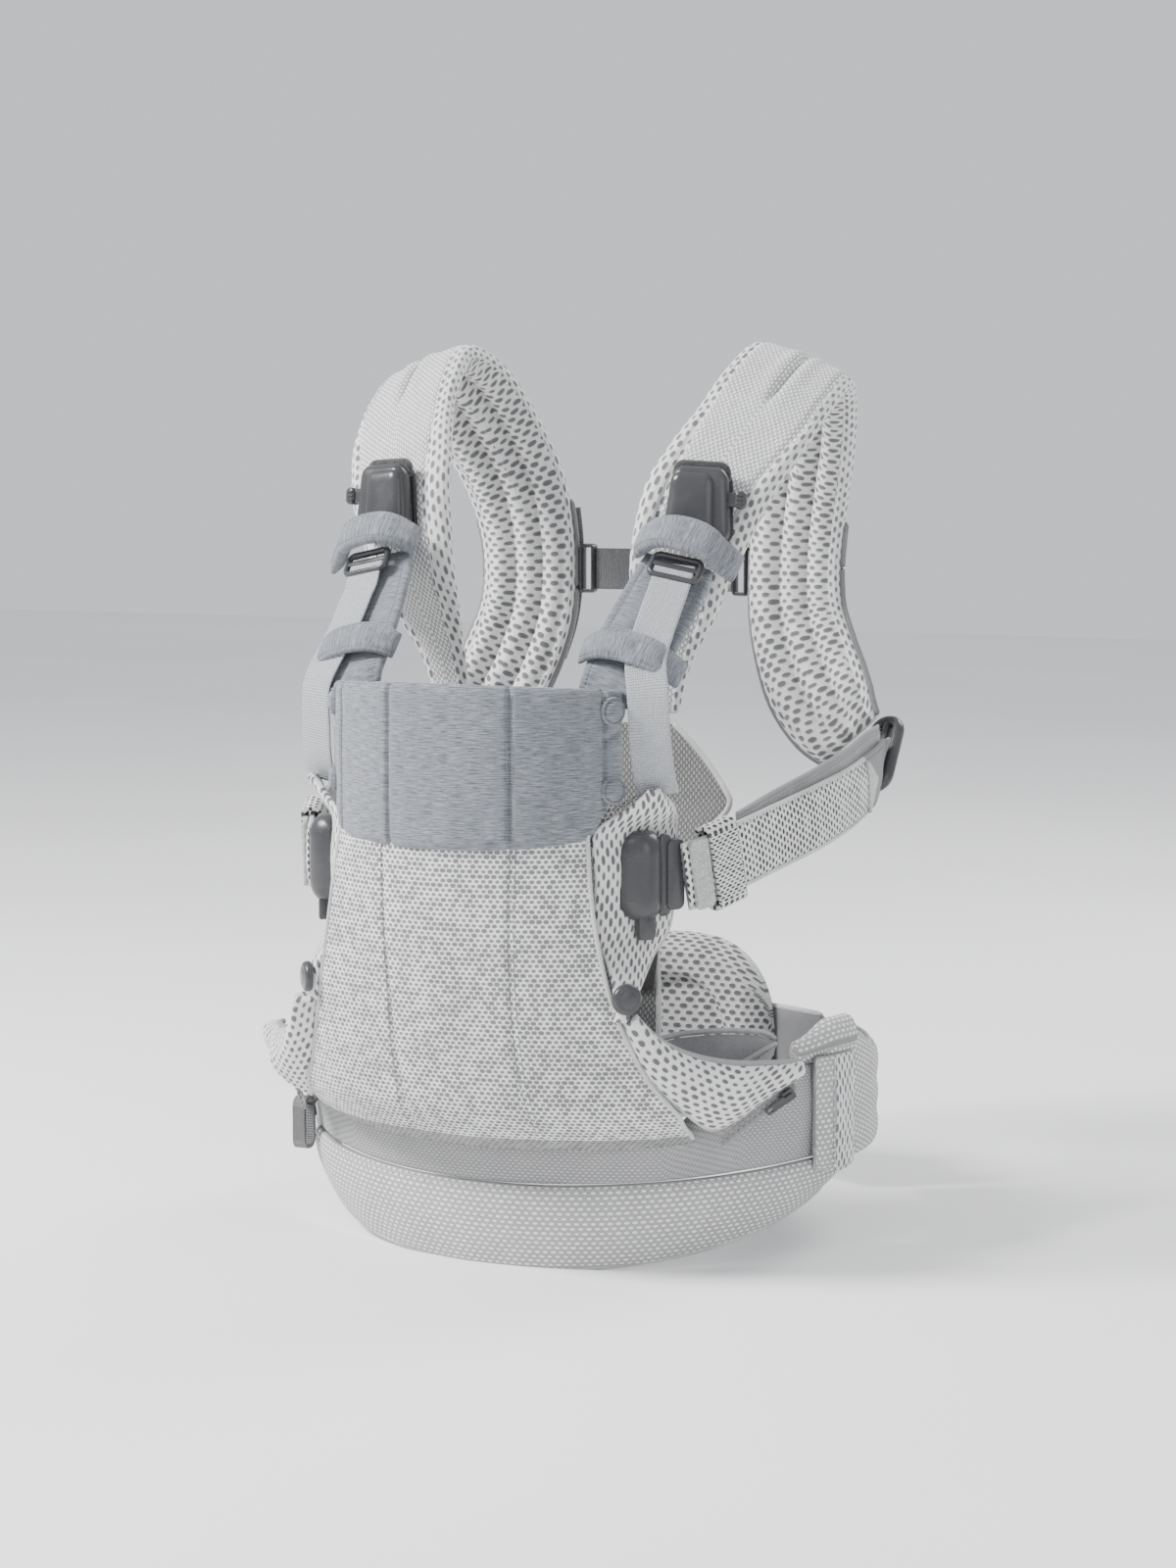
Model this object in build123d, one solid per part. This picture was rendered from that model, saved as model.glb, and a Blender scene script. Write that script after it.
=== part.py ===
"""Soft baby carrier: waist belt, front panel, shoulder straps, side straps and their buckles.

Millimetres. The wearer stands inside the waist loop and faces -Y, +X is the right-hand
side seen from the front, +Z is up. The origin is the centre of the waist loop.
"""
from build123d import *
import math
import os

# Driving dimensions: waist belt
BELT_HALF_X = 188.0
BELT_HALF_Y = 161.0
BELT_SEAM_Z = 13.0
BELT_BAND_TOP = 38.0
BELLY_DROP = -40.0
BELLY_END_ANGLE = 80.0
CUFF_START_ANGLE = 68.0
WING_START_ANGLE = 82.0
WING_END_ANGLE = 112.0
RIGHT_WING_END_ANGLE = 139.0
BACK_HALF_ANGLE = 38.0
LUMBAR_HALF_ANGLE = 23.5
LUMBAR_TOP = 128.0

# Driving dimensions: front panel and folded head flap (both round one upright axis)
CHEST_AXIS_Y = -122.0
YOKE_RADIUS = 102.0
FLAP_RADIUS = 111.0
FLAP_THICK = 6.0
FLAP_TOP = 325.0
FLAP_BOTTOM = 228.0
FLAP_HALF_ANGLE = 62.5
SNAP_ANGLE = 57.6
SNAP_HEIGHTS = (262.0, 309.0)
SNAP_RADIUS = 7.5

# Driving dimensions: straps and webbing
STRAP_WIDTH = 70.0
STRAP_THICK = 14.0
WEBBING_WIDTH = 25.0
SIDE_STRAP_WIDTH = 42.0
BACK_STRAP_WIDTH = 28.0
FABRIC = 3.0
COVER_WALL = 1.5
FOAM_GAP = 0.4

# Driving dimensions: arms and keepers
ARM_ACROSS = (0.97, 0.13, -0.2)
ARM_THICK = 7.0
ARM_KEEPER = (59.0, 22.0, 20.4)
ARM_KEEPER_ORIGIN = (92.6, -154.9, 339.3)
KEEPER_WALL = 2.0
WEBBING_THICK = 1.6

# Driving dimensions: zips
ZIP_START = (143, -131, 44)
ZIP_END = (178, -96, 76)

# Driving dimensions: waist buckle
WAIST_WIDTH = 38.0
WAIST_WEBBING_Z = 48.0
WAIST_TRAVEL = 20.0
WAIST_FRAME_START = 30.0
WAIST_FRAME_END = 46.0

# Driving dimensions: back strap
BACK_STRAP_Y = 119.5
BACK_STRAP_Z = 379.0
BACK_STRAP_HALF = 50.0

# Driving dimensions: buckles
TOP_BUCKLE = (40.0, 48.0, 12.0)
SIDE_SHELL = (32.0, 54.0, 11.0)
SIDE_PLATE = (37.0, 56.0, 2.0)
SIDE_PLATE_RISE = 3.0
STUD_CAP_RADIUS = 9.0
ADJUSTER = (56.0, 24.0, 5.0)
LADDER = (34.0, 22.0, 4.0)
RUN_CLEARANCE = 0.4
GAP = 0.5

# Places of the hard pieces on the right-hand side: origin, across and outward directions
LADDER_ORIGIN = (105, -113, 391)
LADDER_ACROSS = (0.97, 0.13, -0.2)
LADDER_OUT = (0.23, -0.73, 0.64)
TOP_BUCKLE_ORIGIN = (108, -84, 429)
TOP_BUCKLE_ACROSS = (0.96, 0.24, -0.06)
TOP_BUCKLE_OUT = (0.24, -0.96, 0.12)
SIDE_BUCKLE_ORIGIN = (99.5, -163.2, 208)
SIDE_BUCKLE_ACROSS = (0.5, 0.866, 0)
SIDE_BUCKLE_OUT = (0.866, -0.5, 0)
STUD_ORIGIN = (102.6, -187.8, 139)
STUD_OUT = (0.75, -0.66, 0)
ADJUSTER_ORIGIN = (162, 104, 261)
ADJUSTER_BAR = (0, 0.6, 0.8)
ADJUSTER_OUT = (0.3, 0.76, -0.57)


# Small helpers

def save(shape, node):
    """Write one sub-part under its own name."""
    shape.label = node
    export_step(shape, f"parts/{node}.step")


def unit(vector):
    """Vector of length one."""
    return Vector(*vector).normalized()


def group(*shapes):
    """Several separate solids as one sub-part."""
    solids = [solid for shape in shapes for solid in shape.solids()]
    return Compound(children=solids)


def mirrored(shape):
    """The same piece on the left-hand side."""
    return mirror(shape, about=Plane.YZ)


def save_pair(shape, name):
    """Write a right-hand piece and its mirror image."""
    save(shape, f"{name}_right")
    save(mirrored(shape), f"{name}_left")


def tangents(points):
    """Direction of travel at each point of a route."""
    last = len(points) - 1
    found = []
    for index in range(last + 1):
        ahead = Vector(*points[min(index + 1, last)])
        behind = Vector(*points[max(index - 1, 0)])
        found.append((ahead - behind).normalized())
    return found


def strip(stations, ruled=False):
    """Loft a flat band through stations of (centre, across direction, width, thickness)."""
    faces = []
    routes = tangents([station[0] for station in stations])
    for (centre, across, width, thick), along in zip(stations, routes):
        side = Vector(*across).normalized()
        forward = (along - side * along.dot(side)).normalized()
        plane = Plane(origin=centre, x_dir=side, z_dir=forward)
        faces.append(plane * Rectangle(width, thick))
    return loft([face.face() for face in faces], ruled=ruled)


def shrunk(stations, margin):
    """Stations of the space left inside a cover whose wall is margin thick."""
    routes = tangents([station[0] for station in stations])
    last = len(stations) - 1
    inner = []
    for index, (centre, across, width, thick) in enumerate(stations):
        shift = routes[index] * margin * ((index == 0) - (index == last))
        place = tuple(Vector(*centre) + shift)
        inner.append((place, across, width - 2 * margin, thick - 2 * margin))
    return inner


def sheet(edge_pairs, thick, outward):
    """Loft a thin sheet between pairs of edge points, its thickness along outward."""
    faces = []
    for low, high in edge_pairs:
        start, end = Vector(*low), Vector(*high)
        normal = Vector(*outward)
        along = (end - start).normalized()
        normal = (normal - along * normal.dot(along)).normalized() * (thick / 2)
        outline = Polyline(start - normal, end - normal, end + normal, start + normal, close=True)
        faces.append(make_face(outline).face())
    return loft(faces, ruled=True)


def belt_point(angle, inset, height):
    """Point on the waist ellipse; angle 0 is the front, +90 degrees the right side."""
    turn = math.radians(angle)
    x = (BELT_HALF_X - inset) * math.sin(turn)
    y = -(BELT_HALF_Y - inset) * math.cos(turn)
    return (x, y, height)


def belt_piece(first, last, steps, profile):
    """Loft round the waist; profile(angle) gives the (inset, height) corners."""
    faces = []
    for index in range(steps + 1):
        angle = first + (last - first) * index / steps
        corners = [belt_point(angle, inset, height) for inset, height in profile(angle)]
        faces.append(make_face(Polyline(*corners, close=True)).face())
    return loft(faces)


def rounded_block(length, width, height, radius):
    """Block centred on the origin with its upright edges rounded."""
    return extrude(RectangleRounded(length, width, radius), height / 2, both=True)


def standing(origin, across, outward):
    """Local frame of a buckle: x across, y up its face, z outward."""
    out = unit(outward)
    side = Vector(*across)
    side = (side - out * side.dot(out)).normalized()
    return Plane(origin=origin, x_dir=side, z_dir=out)


# Waist belt

def belly_seam(angle):
    """Height of the seam between the belly panel and the belt band."""
    return BELT_SEAM_Z + 11.0 * math.sin(math.radians(angle)) ** 2


def belly_profile(angle):
    bottom = BELLY_DROP + 44.0 * (abs(angle) / BELLY_END_ANGLE) ** 2.1
    top = belly_seam(angle)
    middle = (top + bottom) / 2
    return [(0, top), (3, middle), (12, bottom), (17, bottom), (8, middle), (5, top)]


def band_top(angle):
    """The band rises at the sides, where the leg wings are zipped to it."""
    rise = max(0.0, abs(angle) - 44.0)
    return BELT_BAND_TOP + min(42.0, 2.6 * rise)


def band_profile(angle):
    low = belly_seam(angle) + GAP
    return [(1.5, band_top(angle)), (1.5, low), (6.5, low), (6.5, band_top(angle))]


def wing_top(angle):
    """The belt wing is highest beside its cuff and falls towards the back."""
    return 80.0 + 22.0 * max(0.0, 1 - (abs(angle) - WING_START_ANGLE) / 20.0)


def wing_profile(angle):
    top = wing_top(angle)
    return [(-2, top - 4), (1, top), (7, top), (10, top - 4), (10, 20), (7, 16), (0, 16), (-2, 20)]


def cuff_profile(angle):
    return [(-5, 84), (-5, 12), (-1, 12), (-1, 84)]


def roll_profile(angle):
    """Rolled padded top edge above the cuff."""
    return [(-4, 104), (-4, 88), (0, 84.5), (8, 84.5), (12, 88), (12, 104), (8, 109), (0, 109)]


def back_profile(angle):
    return [(-3, 80), (-3, -4), (3, -4), (3, 80)]


def lumbar_top(angle):
    reach = abs(abs(angle) - 180.0) / LUMBAR_HALF_ANGLE
    return LUMBAR_TOP - 58.0 * min(1.0, reach) ** 3


def lumbar_profile(margin):
    """Profile of the lumbar pad, pulled in by margin for the foam inside."""
    def profile(angle):
        top = lumbar_top(angle) - margin
        return [(4 + margin, top), (4 + margin, 4 + margin), (22 - margin, 4 + margin), (22 - margin, top)]
    return profile


def make_belt():
    save(belt_piece(-BELLY_END_ANGLE, BELLY_END_ANGLE, 16, belly_profile), "belly_panel")
    save(belt_piece(-58, 58, 16, band_profile), "belt_band")
    right_wing = belt_piece(WING_START_ANGLE, RIGHT_WING_END_ANGLE, 8, wing_profile)
    left_wing = belt_piece(-WING_START_ANGLE, -WING_END_ANGLE, 6, wing_profile)
    save(group(right_wing, left_wing), "belt_wings")
    cuff = belt_piece(CUFF_START_ANGLE, WING_START_ANGLE - 0.3, 4, cuff_profile)
    save(group(cuff, mirrored(cuff)), "belt_wing_cuffs")
    roll = belt_piece(CUFF_START_ANGLE - 3, WING_START_ANGLE - 0.3, 4, roll_profile)
    save(group(roll, mirrored(roll)), "belt_rolls")
    side_panel = belt_piece(58.3, WING_START_ANGLE - 0.3, 6, side_panel_profile)
    save(group(side_panel, mirrored(side_panel)), "belt_side_panels")
    save(belt_piece(180 - BACK_HALF_ANGLE, 180 + BACK_HALF_ANGLE, 10, back_profile), "back_belt")
    first = 180 - LUMBAR_HALF_ANGLE
    last = 180 + LUMBAR_HALF_ANGLE
    cover = belt_piece(first, last, 10, lumbar_profile(0))
    hollow = belt_piece(first + 0.6, last - 0.6, 10, lumbar_profile(COVER_WALL))
    foam = belt_piece(first + 0.8, last - 0.8, 10, lumbar_profile(COVER_WALL + FOAM_GAP))
    save(cover - hollow, "lumbar_cover")
    save(foam, "lumbar_foam")


def side_panel_profile(angle):
    """Padded side of the belt between the zip and the wing's cuff."""
    low = belly_seam(angle) + GAP
    return [(1, 84), (1, low), (9, low), (9, 84)]


# Waist buckle: closes the belt at the left of the back

def waist_frame():
    """Local frame along the closing webbing: x towards the back, z up."""
    start = Vector(*belt_point(-WING_END_ANGLE, 2, WAIST_WEBBING_Z))
    end = Vector(*belt_point(BACK_HALF_ANGLE - 180, 0, WAIST_WEBBING_Z))
    return Plane(origin=start, x_dir=(end - start), z_dir=(0, 0, 1)), (end - start).length


def block_at(x0, x1, depth, height, z=0.0, y=0.0):
    """Block from x0 to x1, centred on the webbing's plane."""
    return Pos((x0 + x1) / 2, y, z) * Box(x1 - x0, depth, height)


def make_waist_buckle():
    plane, span = waist_frame()
    frame_start = WAIST_FRAME_START
    frame_end = WAIST_FRAME_END
    prong_end = frame_end + WAIST_TRAVEL
    rim = block_at(frame_start, frame_end, 11, WAIST_WIDTH + 12)
    tunnel = block_at(frame_start - 1, frame_end - 3.5, 1.8 + 2 * RUN_CLEARANCE, WAIST_WIDTH + 1)
    prong_frame = rim - tunnel - block_at(frame_end - 6, frame_end - 3.6, 20, WAIST_WIDTH + 1)
    webbing = block_at(2, frame_end - 4 - WAIST_TRAVEL, 1.8, WAIST_WIDTH)
    prongs = [block_at(frame_end - 0.1, prong_end, 5, 7, z) for z in (-17, 0, 17)]
    male = prong_frame + prongs
    shell = block_at(frame_end + GAP, prong_end + 10, 12, WAIST_WIDTH + 12)
    cavity = block_at(frame_end, prong_end + 1.5, 5.8, WAIST_WIDTH + 4.5)
    tail_slot = block_at(prong_end + 4.5, prong_end + 7.5, 20, WAIST_WIDTH + 1)
    tail = block_at(prong_end + 10 + GAP, span - 2, 2.4, WAIST_WIDTH)
    save(plane * group(webbing, tail), "waist_webbing")
    save(plane * male, "waist_buckle_prongs")
    save(plane * (shell - cavity - tail_slot), "waist_buckle_socket")


# Front panel, side wings and leg wings

def panel_section(height, centre_y, half_width, side_y, thick):
    """Flat slice of the front panel: two arcs a fabric thickness apart."""
    outer = ThreePointArc((-half_width, side_y), (0, centre_y), (half_width, side_y))
    inner_half = half_width - thick * 0.7
    inner_side = side_y + thick * 0.7
    inner = ThreePointArc((-inner_half, inner_side), (0, centre_y + thick), (inner_half, inner_side))
    ends = [Line(outer @ 0, inner @ 0), Line(outer @ 1, inner @ 1)]
    return Pos(0, 0, height) * make_face([outer, inner, *ends])


def make_front_panel():
    slices = [
        (41, -176, 130, -119),
        (58, -192, 125, -148),
        (90, -209, 112, -174),
        (135, -220, 98, -191),
        (185, -226, 88, -196),
        (226, -227, 83, -193),
    ]
    faces = [panel_section(*values, FABRIC).face() for values in slices]
    save(loft(faces), "front_panel")


def ring_sector(radius, thick, half_angle):
    """Flat ring sector that faces -Y."""
    def at(size, angle):
        turn = math.radians(angle)
        return (size * math.sin(turn), -size * math.cos(turn))
    inside = radius - thick
    outer = ThreePointArc(at(radius, -half_angle), at(radius, 0), at(radius, half_angle))
    inner = ThreePointArc(at(inside, -half_angle), at(inside, 0), at(inside, half_angle))
    ends = [Line(outer @ 0, inner @ 0), Line(outer @ 1, inner @ 1)]
    return make_face([outer, inner, *ends])


def chest_shell(radius, thick, low, high, half_angle):
    """Upright curved sheet round the chest axis."""
    sector = Pos(0, CHEST_AXIS_Y) * ring_sector(radius, thick, half_angle)
    return Pos(0, 0, low) * extrude(sector, high - low)


def make_yoke():
    """Top of the front panel, which the flap covers and the snap studs sit on."""
    save(chest_shell(YOKE_RADIUS, FABRIC, FLAP_BOTTOM - 1.0, 316, FLAP_HALF_ANGLE), "panel_yoke")


def flap_shape(margin):
    low = FLAP_BOTTOM + margin
    high = FLAP_TOP - margin
    shell = chest_shell(FLAP_RADIUS - margin, FLAP_THICK - 2 * margin, low, high, FLAP_HALF_ANGLE - margin)
    cut = corner_cut()
    return shell - Pos(-margin, 0, margin) * cut - Pos(margin, 0, margin) * mirrored(cut)


def corner_cut():
    """Wedge that takes the lower outer corner off the flap, clear of the side wing."""
    outline = Polyline((74, FLAP_BOTTOM - 2), (130, FLAP_BOTTOM - 2), (130, FLAP_BOTTOM + 62), close=True)
    return extrude(Plane.XZ * make_face(outline), 260)


def on_chest(radius, angle, height):
    """Local frame on the chest cylinder, z outward."""
    turn = math.radians(angle)
    out = Vector(math.sin(turn), -math.cos(turn), 0)
    origin = Vector(0, CHEST_AXIS_Y, height) + out * radius
    return Plane(origin=origin, x_dir=(math.cos(turn), math.sin(turn), 0), z_dir=out)


def disc(radius, thick):
    """Round disc that stands on its frame's origin."""
    return Pos(0, 0, thick / 2) * Cylinder(radius, thick)


def make_flap():
    cover = flap_shape(0)
    save(cover - flap_shape(COVER_WALL), "head_flap_cover")
    save(flap_shape(COVER_WALL + FOAM_GAP), "head_flap_foam")
    studs = []
    caps = []
    for angle in (-SNAP_ANGLE, SNAP_ANGLE):
        for height in SNAP_HEIGHTS:
            stud = disc(SNAP_RADIUS, 1.0) + Pos(0, 0, 0.9) * disc(2.5, 1.2)
            studs.append(on_chest(YOKE_RADIUS + 0.1, angle, height) * stud)
            caps.append(on_chest(FLAP_RADIUS + 0.1, angle, height) * disc(SNAP_RADIUS, 1.4))
    save(group(*studs), "snap_studs")
    save(group(*caps), "flap_snap_caps")


def make_side_wing():
    edges = [
        ((100, -192, 127), (103.5, -188, 127)),
        ((98.5, -192.5, 140), (108, -181, 140)),
        ((94, -190.5, 158), (109, -160, 158)),
        ((85.5, -188.2, 178), (113, -140.6, 178)),
        ((84.6, -189, 208), (115, -136.4, 208)),
        ((84.6, -189, 236), (115, -136.4, 236)),
        ((101, -178, 250), (118, -148, 250)),
        ((112, -171, 262), (115, -166, 262)),
    ]
    save_pair(sheet(edges, FABRIC, (0.8, -0.6, 0)), "side_wing")


LEG_WING_EDGES = [
    ((103, -187, 125.5), (107, -182, 126.5)),
    ((107, -181, 108), (116, -173, 114)),
    ((115, -171, 87), (128, -163, 104)),
    ((127, -153, 67), (144, -149, 97)),
    ((140, -129, 53), (160, -132, 93)),
    ((160, -110, 68), (172, -110, 91)),
    ((177, -92, 84), (180, -92, 89)),
]


def make_leg_wings():
    save_pair(sheet(LEG_WING_EDGES, FABRIC, (0.6, -0.7, -0.4)), "leg_wing")
    inner_edges = [
        ((106, -158, 84), (104, -152, 104)),
        ((116, -142, 68), (118, -134, 107)),
        ((132, -124, 56), (138, -114, 108)),
        ((146, -105, 68), (154, -95, 105)),
        ((155, -89, 87), (159, -81, 99)),
    ]
    lining = sheet(inner_edges, 2.0, (0.7, -0.6, 0))
    save(group(lining, mirrored(lining)), "leg_linings")


def make_zips():
    across = (0.5, -0.5, 0)
    tape = strip([(ZIP_START, across, 3.0, 6.0), (ZIP_END, across, 3.0, 6.0)], ruled=True)
    save(group(tape, mirrored(tape)), "zip_tapes")
    along = (Vector(*ZIP_START) - Vector(*ZIP_END)).normalized()
    out = Vector(0.6, -0.65, -0.1)
    frame = Plane(origin=Vector(*ZIP_END) + along * 8 + out.normalized() * 4.4, x_dir=along, z_dir=out)
    body = rounded_block(9, 7, 3.2, 1.5)
    bridge = Pos(0, 0, 2.4) * rounded_block(5, 2.4, 1.8, 0.8)
    tab = Pos(10, 0, 2.6) * (rounded_block(15, 5, 1.4, 2.0) - Pos(4, 0, 0) * rounded_block(4, 2, 3, 0.9))
    save_pair(frame * (body + bridge + tab), "zip_slider")


def make_bib():
    """Chest piece behind the baby: it joins the strap ends to the front of the belt."""
    outline = [
        (-146, 46, 76),
        (-122, 74, 84),
        (-100, 101, 89),
        (-78, 178, 80),
        (-63, 222, 104),
        (-58, 240, 118),
        (-57, 252, 115),
        (-56, 276, 96),
        (-56, 291, 80),
    ]
    stations = [((0, y, z), (1, 0, 0), 2 * half, 4.0) for y, z, half in outline]
    save(strip(stations, ruled=True), "chest_bib")
    patch = strip([((77, -95.8, 128), (1, 0, 0), 13, 1.6), ((77, -87.2, 158), (1, 0, 0), 13, 1.6)], ruled=True)
    save(patch, "hook_patch")


# Arms between the flap's top corners and the shoulder buckles

def make_arms():
    route = [
        ((90, -157, 332), 46),
        ((93, -141, 349), 50),
        ((96, -124, 365), 50),
        ((99, -107, 382), 48),
        ((101, -98, 393), 44),
    ]
    save_pair(strip([(place, ARM_ACROSS, width, ARM_THICK) for place, width in route]), "arm")
    frame = standing(ARM_KEEPER_ORIGIN, ARM_ACROSS, (0.23, -0.73, 0.64))
    outer = Box(*ARM_KEEPER)
    hollow = Box(ARM_KEEPER[0] - 2 * KEEPER_WALL, 30, ARM_KEEPER[2] - 2 * KEEPER_WALL)
    keeper = frame * (outer - hollow)
    save(group(keeper, mirrored(keeper)), "arm_keepers")


def make_webbing():
    tilted = ARM_ACROSS
    upright = (0.94, 0.35, 0)
    route = [
        ((104, -121, 379), tilted),
        ((104, -131, 369), tilted),
        ((104, -145, 354), tilted),
        ((105.5, -160, 338.5), tilted),
        ((111, -169.5, 318), upright),
        ((112, -169, 294), upright),
        ((113, -165, 272), upright),
        ((113, -158, 258), upright),
    ]
    stations = [(place, across, WEBBING_WIDTH, WEBBING_THICK) for place, across in route]
    save_pair(strip(stations), "arm_webbing")


def bar_frame(length, width, thick, bars, web):
    """Flat slotted buckle: an outer rim with slots between its cross bars."""
    blank = rounded_block(length, width, thick, width * 0.24)
    rim = 2.6
    slot = (width - 2 * rim - (bars - 2) * rim) / (bars - 1)
    for index in range(bars - 1):
        y = -width / 2 + rim + slot / 2 + index * (slot + rim)
        blank -= Pos(0, y, 0) * Box(web + 1.5, slot, thick * 3)
    return blank


def make_ladder_buckle():
    frame = standing(LADDER_ORIGIN, LADDER_ACROSS, LADDER_OUT)
    save_pair(frame * bar_frame(*LADDER, 3, WEBBING_WIDTH), "ladder_buckle")


def make_adjuster():
    frame = standing(ADJUSTER_ORIGIN, ADJUSTER_BAR, ADJUSTER_OUT)
    save_pair(frame * bar_frame(*ADJUSTER, 3, SIDE_STRAP_WIDTH), "adjuster")


def make_top_buckle():
    frame = standing(TOP_BUCKLE_ORIGIN, TOP_BUCKLE_ACROSS, TOP_BUCKLE_OUT)
    width, height, thick = TOP_BUCKLE
    body = rounded_block(width, height, thick, 8)
    body = fillet(body.faces().sort_by(Axis.Z)[-1].edges(), 2.5)
    pocket = Pos(width / 2 - 6, 2, 0) * Box(12.1, 15, 6.6)
    strap_slot = Pos(0, height / 2 - 7, 0) * Box(34, 3, 40)
    body = body - pocket - strap_slot
    lever = Pos(width / 2 - 1.5, 2, 0) * Box(10, 14.2, 5.8)
    thumb = Pos(width / 2 + 6.2, 2, 0.5) * rounded_block(6, 16, 8, 2.4)
    save_pair(frame * body, "top_buckle_body")
    save_pair(frame * (lever + thumb), "top_buckle_lever")


def make_side_buckle():
    frame = standing(SIDE_BUCKLE_ORIGIN, SIDE_BUCKLE_ACROSS, SIDE_BUCKLE_OUT)
    plate = Pos(0, 0, SIDE_PLATE_RISE) * rounded_block(*SIDE_PLATE[:2], SIDE_PLATE[2], 11)
    width, height, depth = SIDE_SHELL
    low = SIDE_PLATE_RISE + SIDE_PLATE[2] / 2 + GAP
    shell = Pos(1, 2, low + depth / 2) * rounded_block(width, height, depth, 8)
    shell = fillet(shell.faces().sort_by(Axis.Z)[-1].edges(), 5)
    button_z = low + 5.5
    pocket = Pos(1, 2 - height / 2 + 5, button_z) * Box(12.8, 10.1, 6.8)
    button = Pos(1, 2 - height / 2 + 1, button_z) * rounded_block(12, 10, 6, 1.5)
    save(group(frame * plate, mirrored(frame * plate)), "side_buckle_plates")
    save_pair(frame * (shell - pocket), "side_buckle_shell")
    save_pair(frame * button, "side_buckle_button")


def make_studs():
    frame = standing(STUD_ORIGIN, (0.8, 0.6, 0), STUD_OUT)
    post = Pos(0, 0, 2.6) * (disc(5, 1.2) + disc(2.2, 4.0))
    bore = disc(2.6, 4.0)
    knob = disc(STUD_CAP_RADIUS, 4.4)
    knob = fillet(knob.faces().sort_by(Axis.Z)[-1].edges(), 1.6)
    cap = Pos(0, 0, 4.2) * (knob - Pos(0, 0, -1.2) * bore)
    save(group(frame * post, mirrored(frame * post)), "stud_posts")
    save_pair(frame * cap, "stud_cap")


# Shoulder straps

STRAP_ROUTE = [
    ((72, -57, 299), (1, 0.05, 0), 24, 8),
    ((78, -62, 334), (1, 0.12, 0), 34, 9),
    ((86, -69, 364), (0.97, 0.22, 0), 54, 12),
    ((93, -74, 392), (0.97, 0.24, 0), 67, STRAP_THICK),
    ((103, -67, 428), (0.965, 0.26, 0), 76, STRAP_THICK),
    ((112, -51, 452), (0.96, 0.28, 0), 77, STRAP_THICK),
    ((121, -30, 474), (0.96, 0.28, -0.06), 76, STRAP_THICK),
    ((127, -4, 496), (0.94, 0.3, -0.15), 75, STRAP_THICK),
    ((131, 28, 513), (0.93, 0.12, -0.34), 72, STRAP_THICK),
    ((128, 55, 507), (0.93, -0.14, -0.34), STRAP_WIDTH, STRAP_THICK),
    ((122, 76, 491), (0.93, -0.2, -0.3), STRAP_WIDTH, STRAP_THICK),
    ((114, 94, 466), (0.94, -0.2, -0.26), STRAP_WIDTH, STRAP_THICK),
    ((105, 106, 438), (0.97, -0.17, -0.15), STRAP_WIDTH, STRAP_THICK),
    ((99, 112, 407), (0.99, -0.1, -0.05), 68, STRAP_THICK),
    ((97, 113, 378), (1, -0.08, 0), 67, STRAP_THICK),
    ((99, 112, 350), (1, -0.06, 0), 68, STRAP_THICK),
    ((107, 109, 324), (0.99, -0.03, 0.06), STRAP_WIDTH, 13),
    ((117, 106, 302), (0.97, 0, 0.18), STRAP_WIDTH, 12),
    ((128, 105, 284), (0.94, 0, 0.32), 64, 11),
    ((141, 105, 269), (0.88, 0, 0.46), 50, 9),
]


def make_shoulder_straps():
    outer = strip(STRAP_ROUTE)
    hollow = strip(shrunk(STRAP_ROUTE, COVER_WALL))
    core = strip(shrunk(STRAP_ROUTE, COVER_WALL + FOAM_GAP))
    save_pair(outer - hollow, "shoulder_strap")
    save(group(core, mirrored(core)), "strap_foams")


def make_back_strap():
    """Webbing between the shoulder straps; its two sliders run on rails sewn behind them."""
    places = [(78, 118.5, 318), (72, 122.5, 340), (69, 124.2, 362), (68, 124.8, 395), (70, 123.8, 420)]
    rail = strip([(place, (1, 0, 0), 12, 1.8) for place in places])
    save(group(rail, mirrored(rail)), "strap_rails")
    plane = Plane(origin=(0, BACK_STRAP_Y, BACK_STRAP_Z), x_dir=(1, 0, 0), z_dir=(0, -1, 0))
    save(plane * Box(2 * BACK_STRAP_HALF, BACK_STRAP_WIDTH, 1.8), "back_strap")
    slider = Pos(BACK_STRAP_HALF + 6, 0, 0) * (rounded_block(11, 34, 10, 2) - Pos(-4, 0, 0) * Box(5.4, 29, 20))
    save(plane * group(slider, mirrored(slider)), "back_sliders")


# Side straps

SIDE_ROUTE = [
    ((169, 80, 256), (0, 0.3, 0.95), 34),
    ((173, 54, 250), (0, 0.2, 1), 38),
    ((173, 14, 242), (0, 0, 1), 40),
    ((167, -28, 234), (0, 0, 1), SIDE_STRAP_WIDTH),
    ((158, -64, 227), (0, 0, 1), SIDE_STRAP_WIDTH),
    ((147, -102, 219), (0, 0, 1), SIDE_STRAP_WIDTH),
    ((136, -130, 212), (0, 0, 1), SIDE_STRAP_WIDTH),
    ((127, -150, 208), (0, 0, 1), SIDE_STRAP_WIDTH),
]


def make_side_strap():
    stations = [(place, across, width, 4.0) for place, across, width in SIDE_ROUTE]
    save_pair(strip(stations), "side_strap")
    frame = Plane(origin=(139.2, -122, 214), x_dir=(-11, -28, -7), z_dir=(28, -11, 0))
    keeper = frame * (Box(22, SIDE_STRAP_WIDTH + 9, 11) - Box(30, SIDE_STRAP_WIDTH + 5, 7.5))
    save_pair(keeper, "side_strap_keeper")


def make_finger_loop():
    """Small fabric loop that hangs under the left zip."""
    ring = rounded_block(14, 33, 9, 6) - rounded_block(9.5, 28.5, 12, 4)
    plane = Plane(origin=(-162, -98, 26), x_dir=(0, -1, 0), z_dir=(-1, 0, 0))
    save(plane * ring, "belt_finger_loop")


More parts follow.
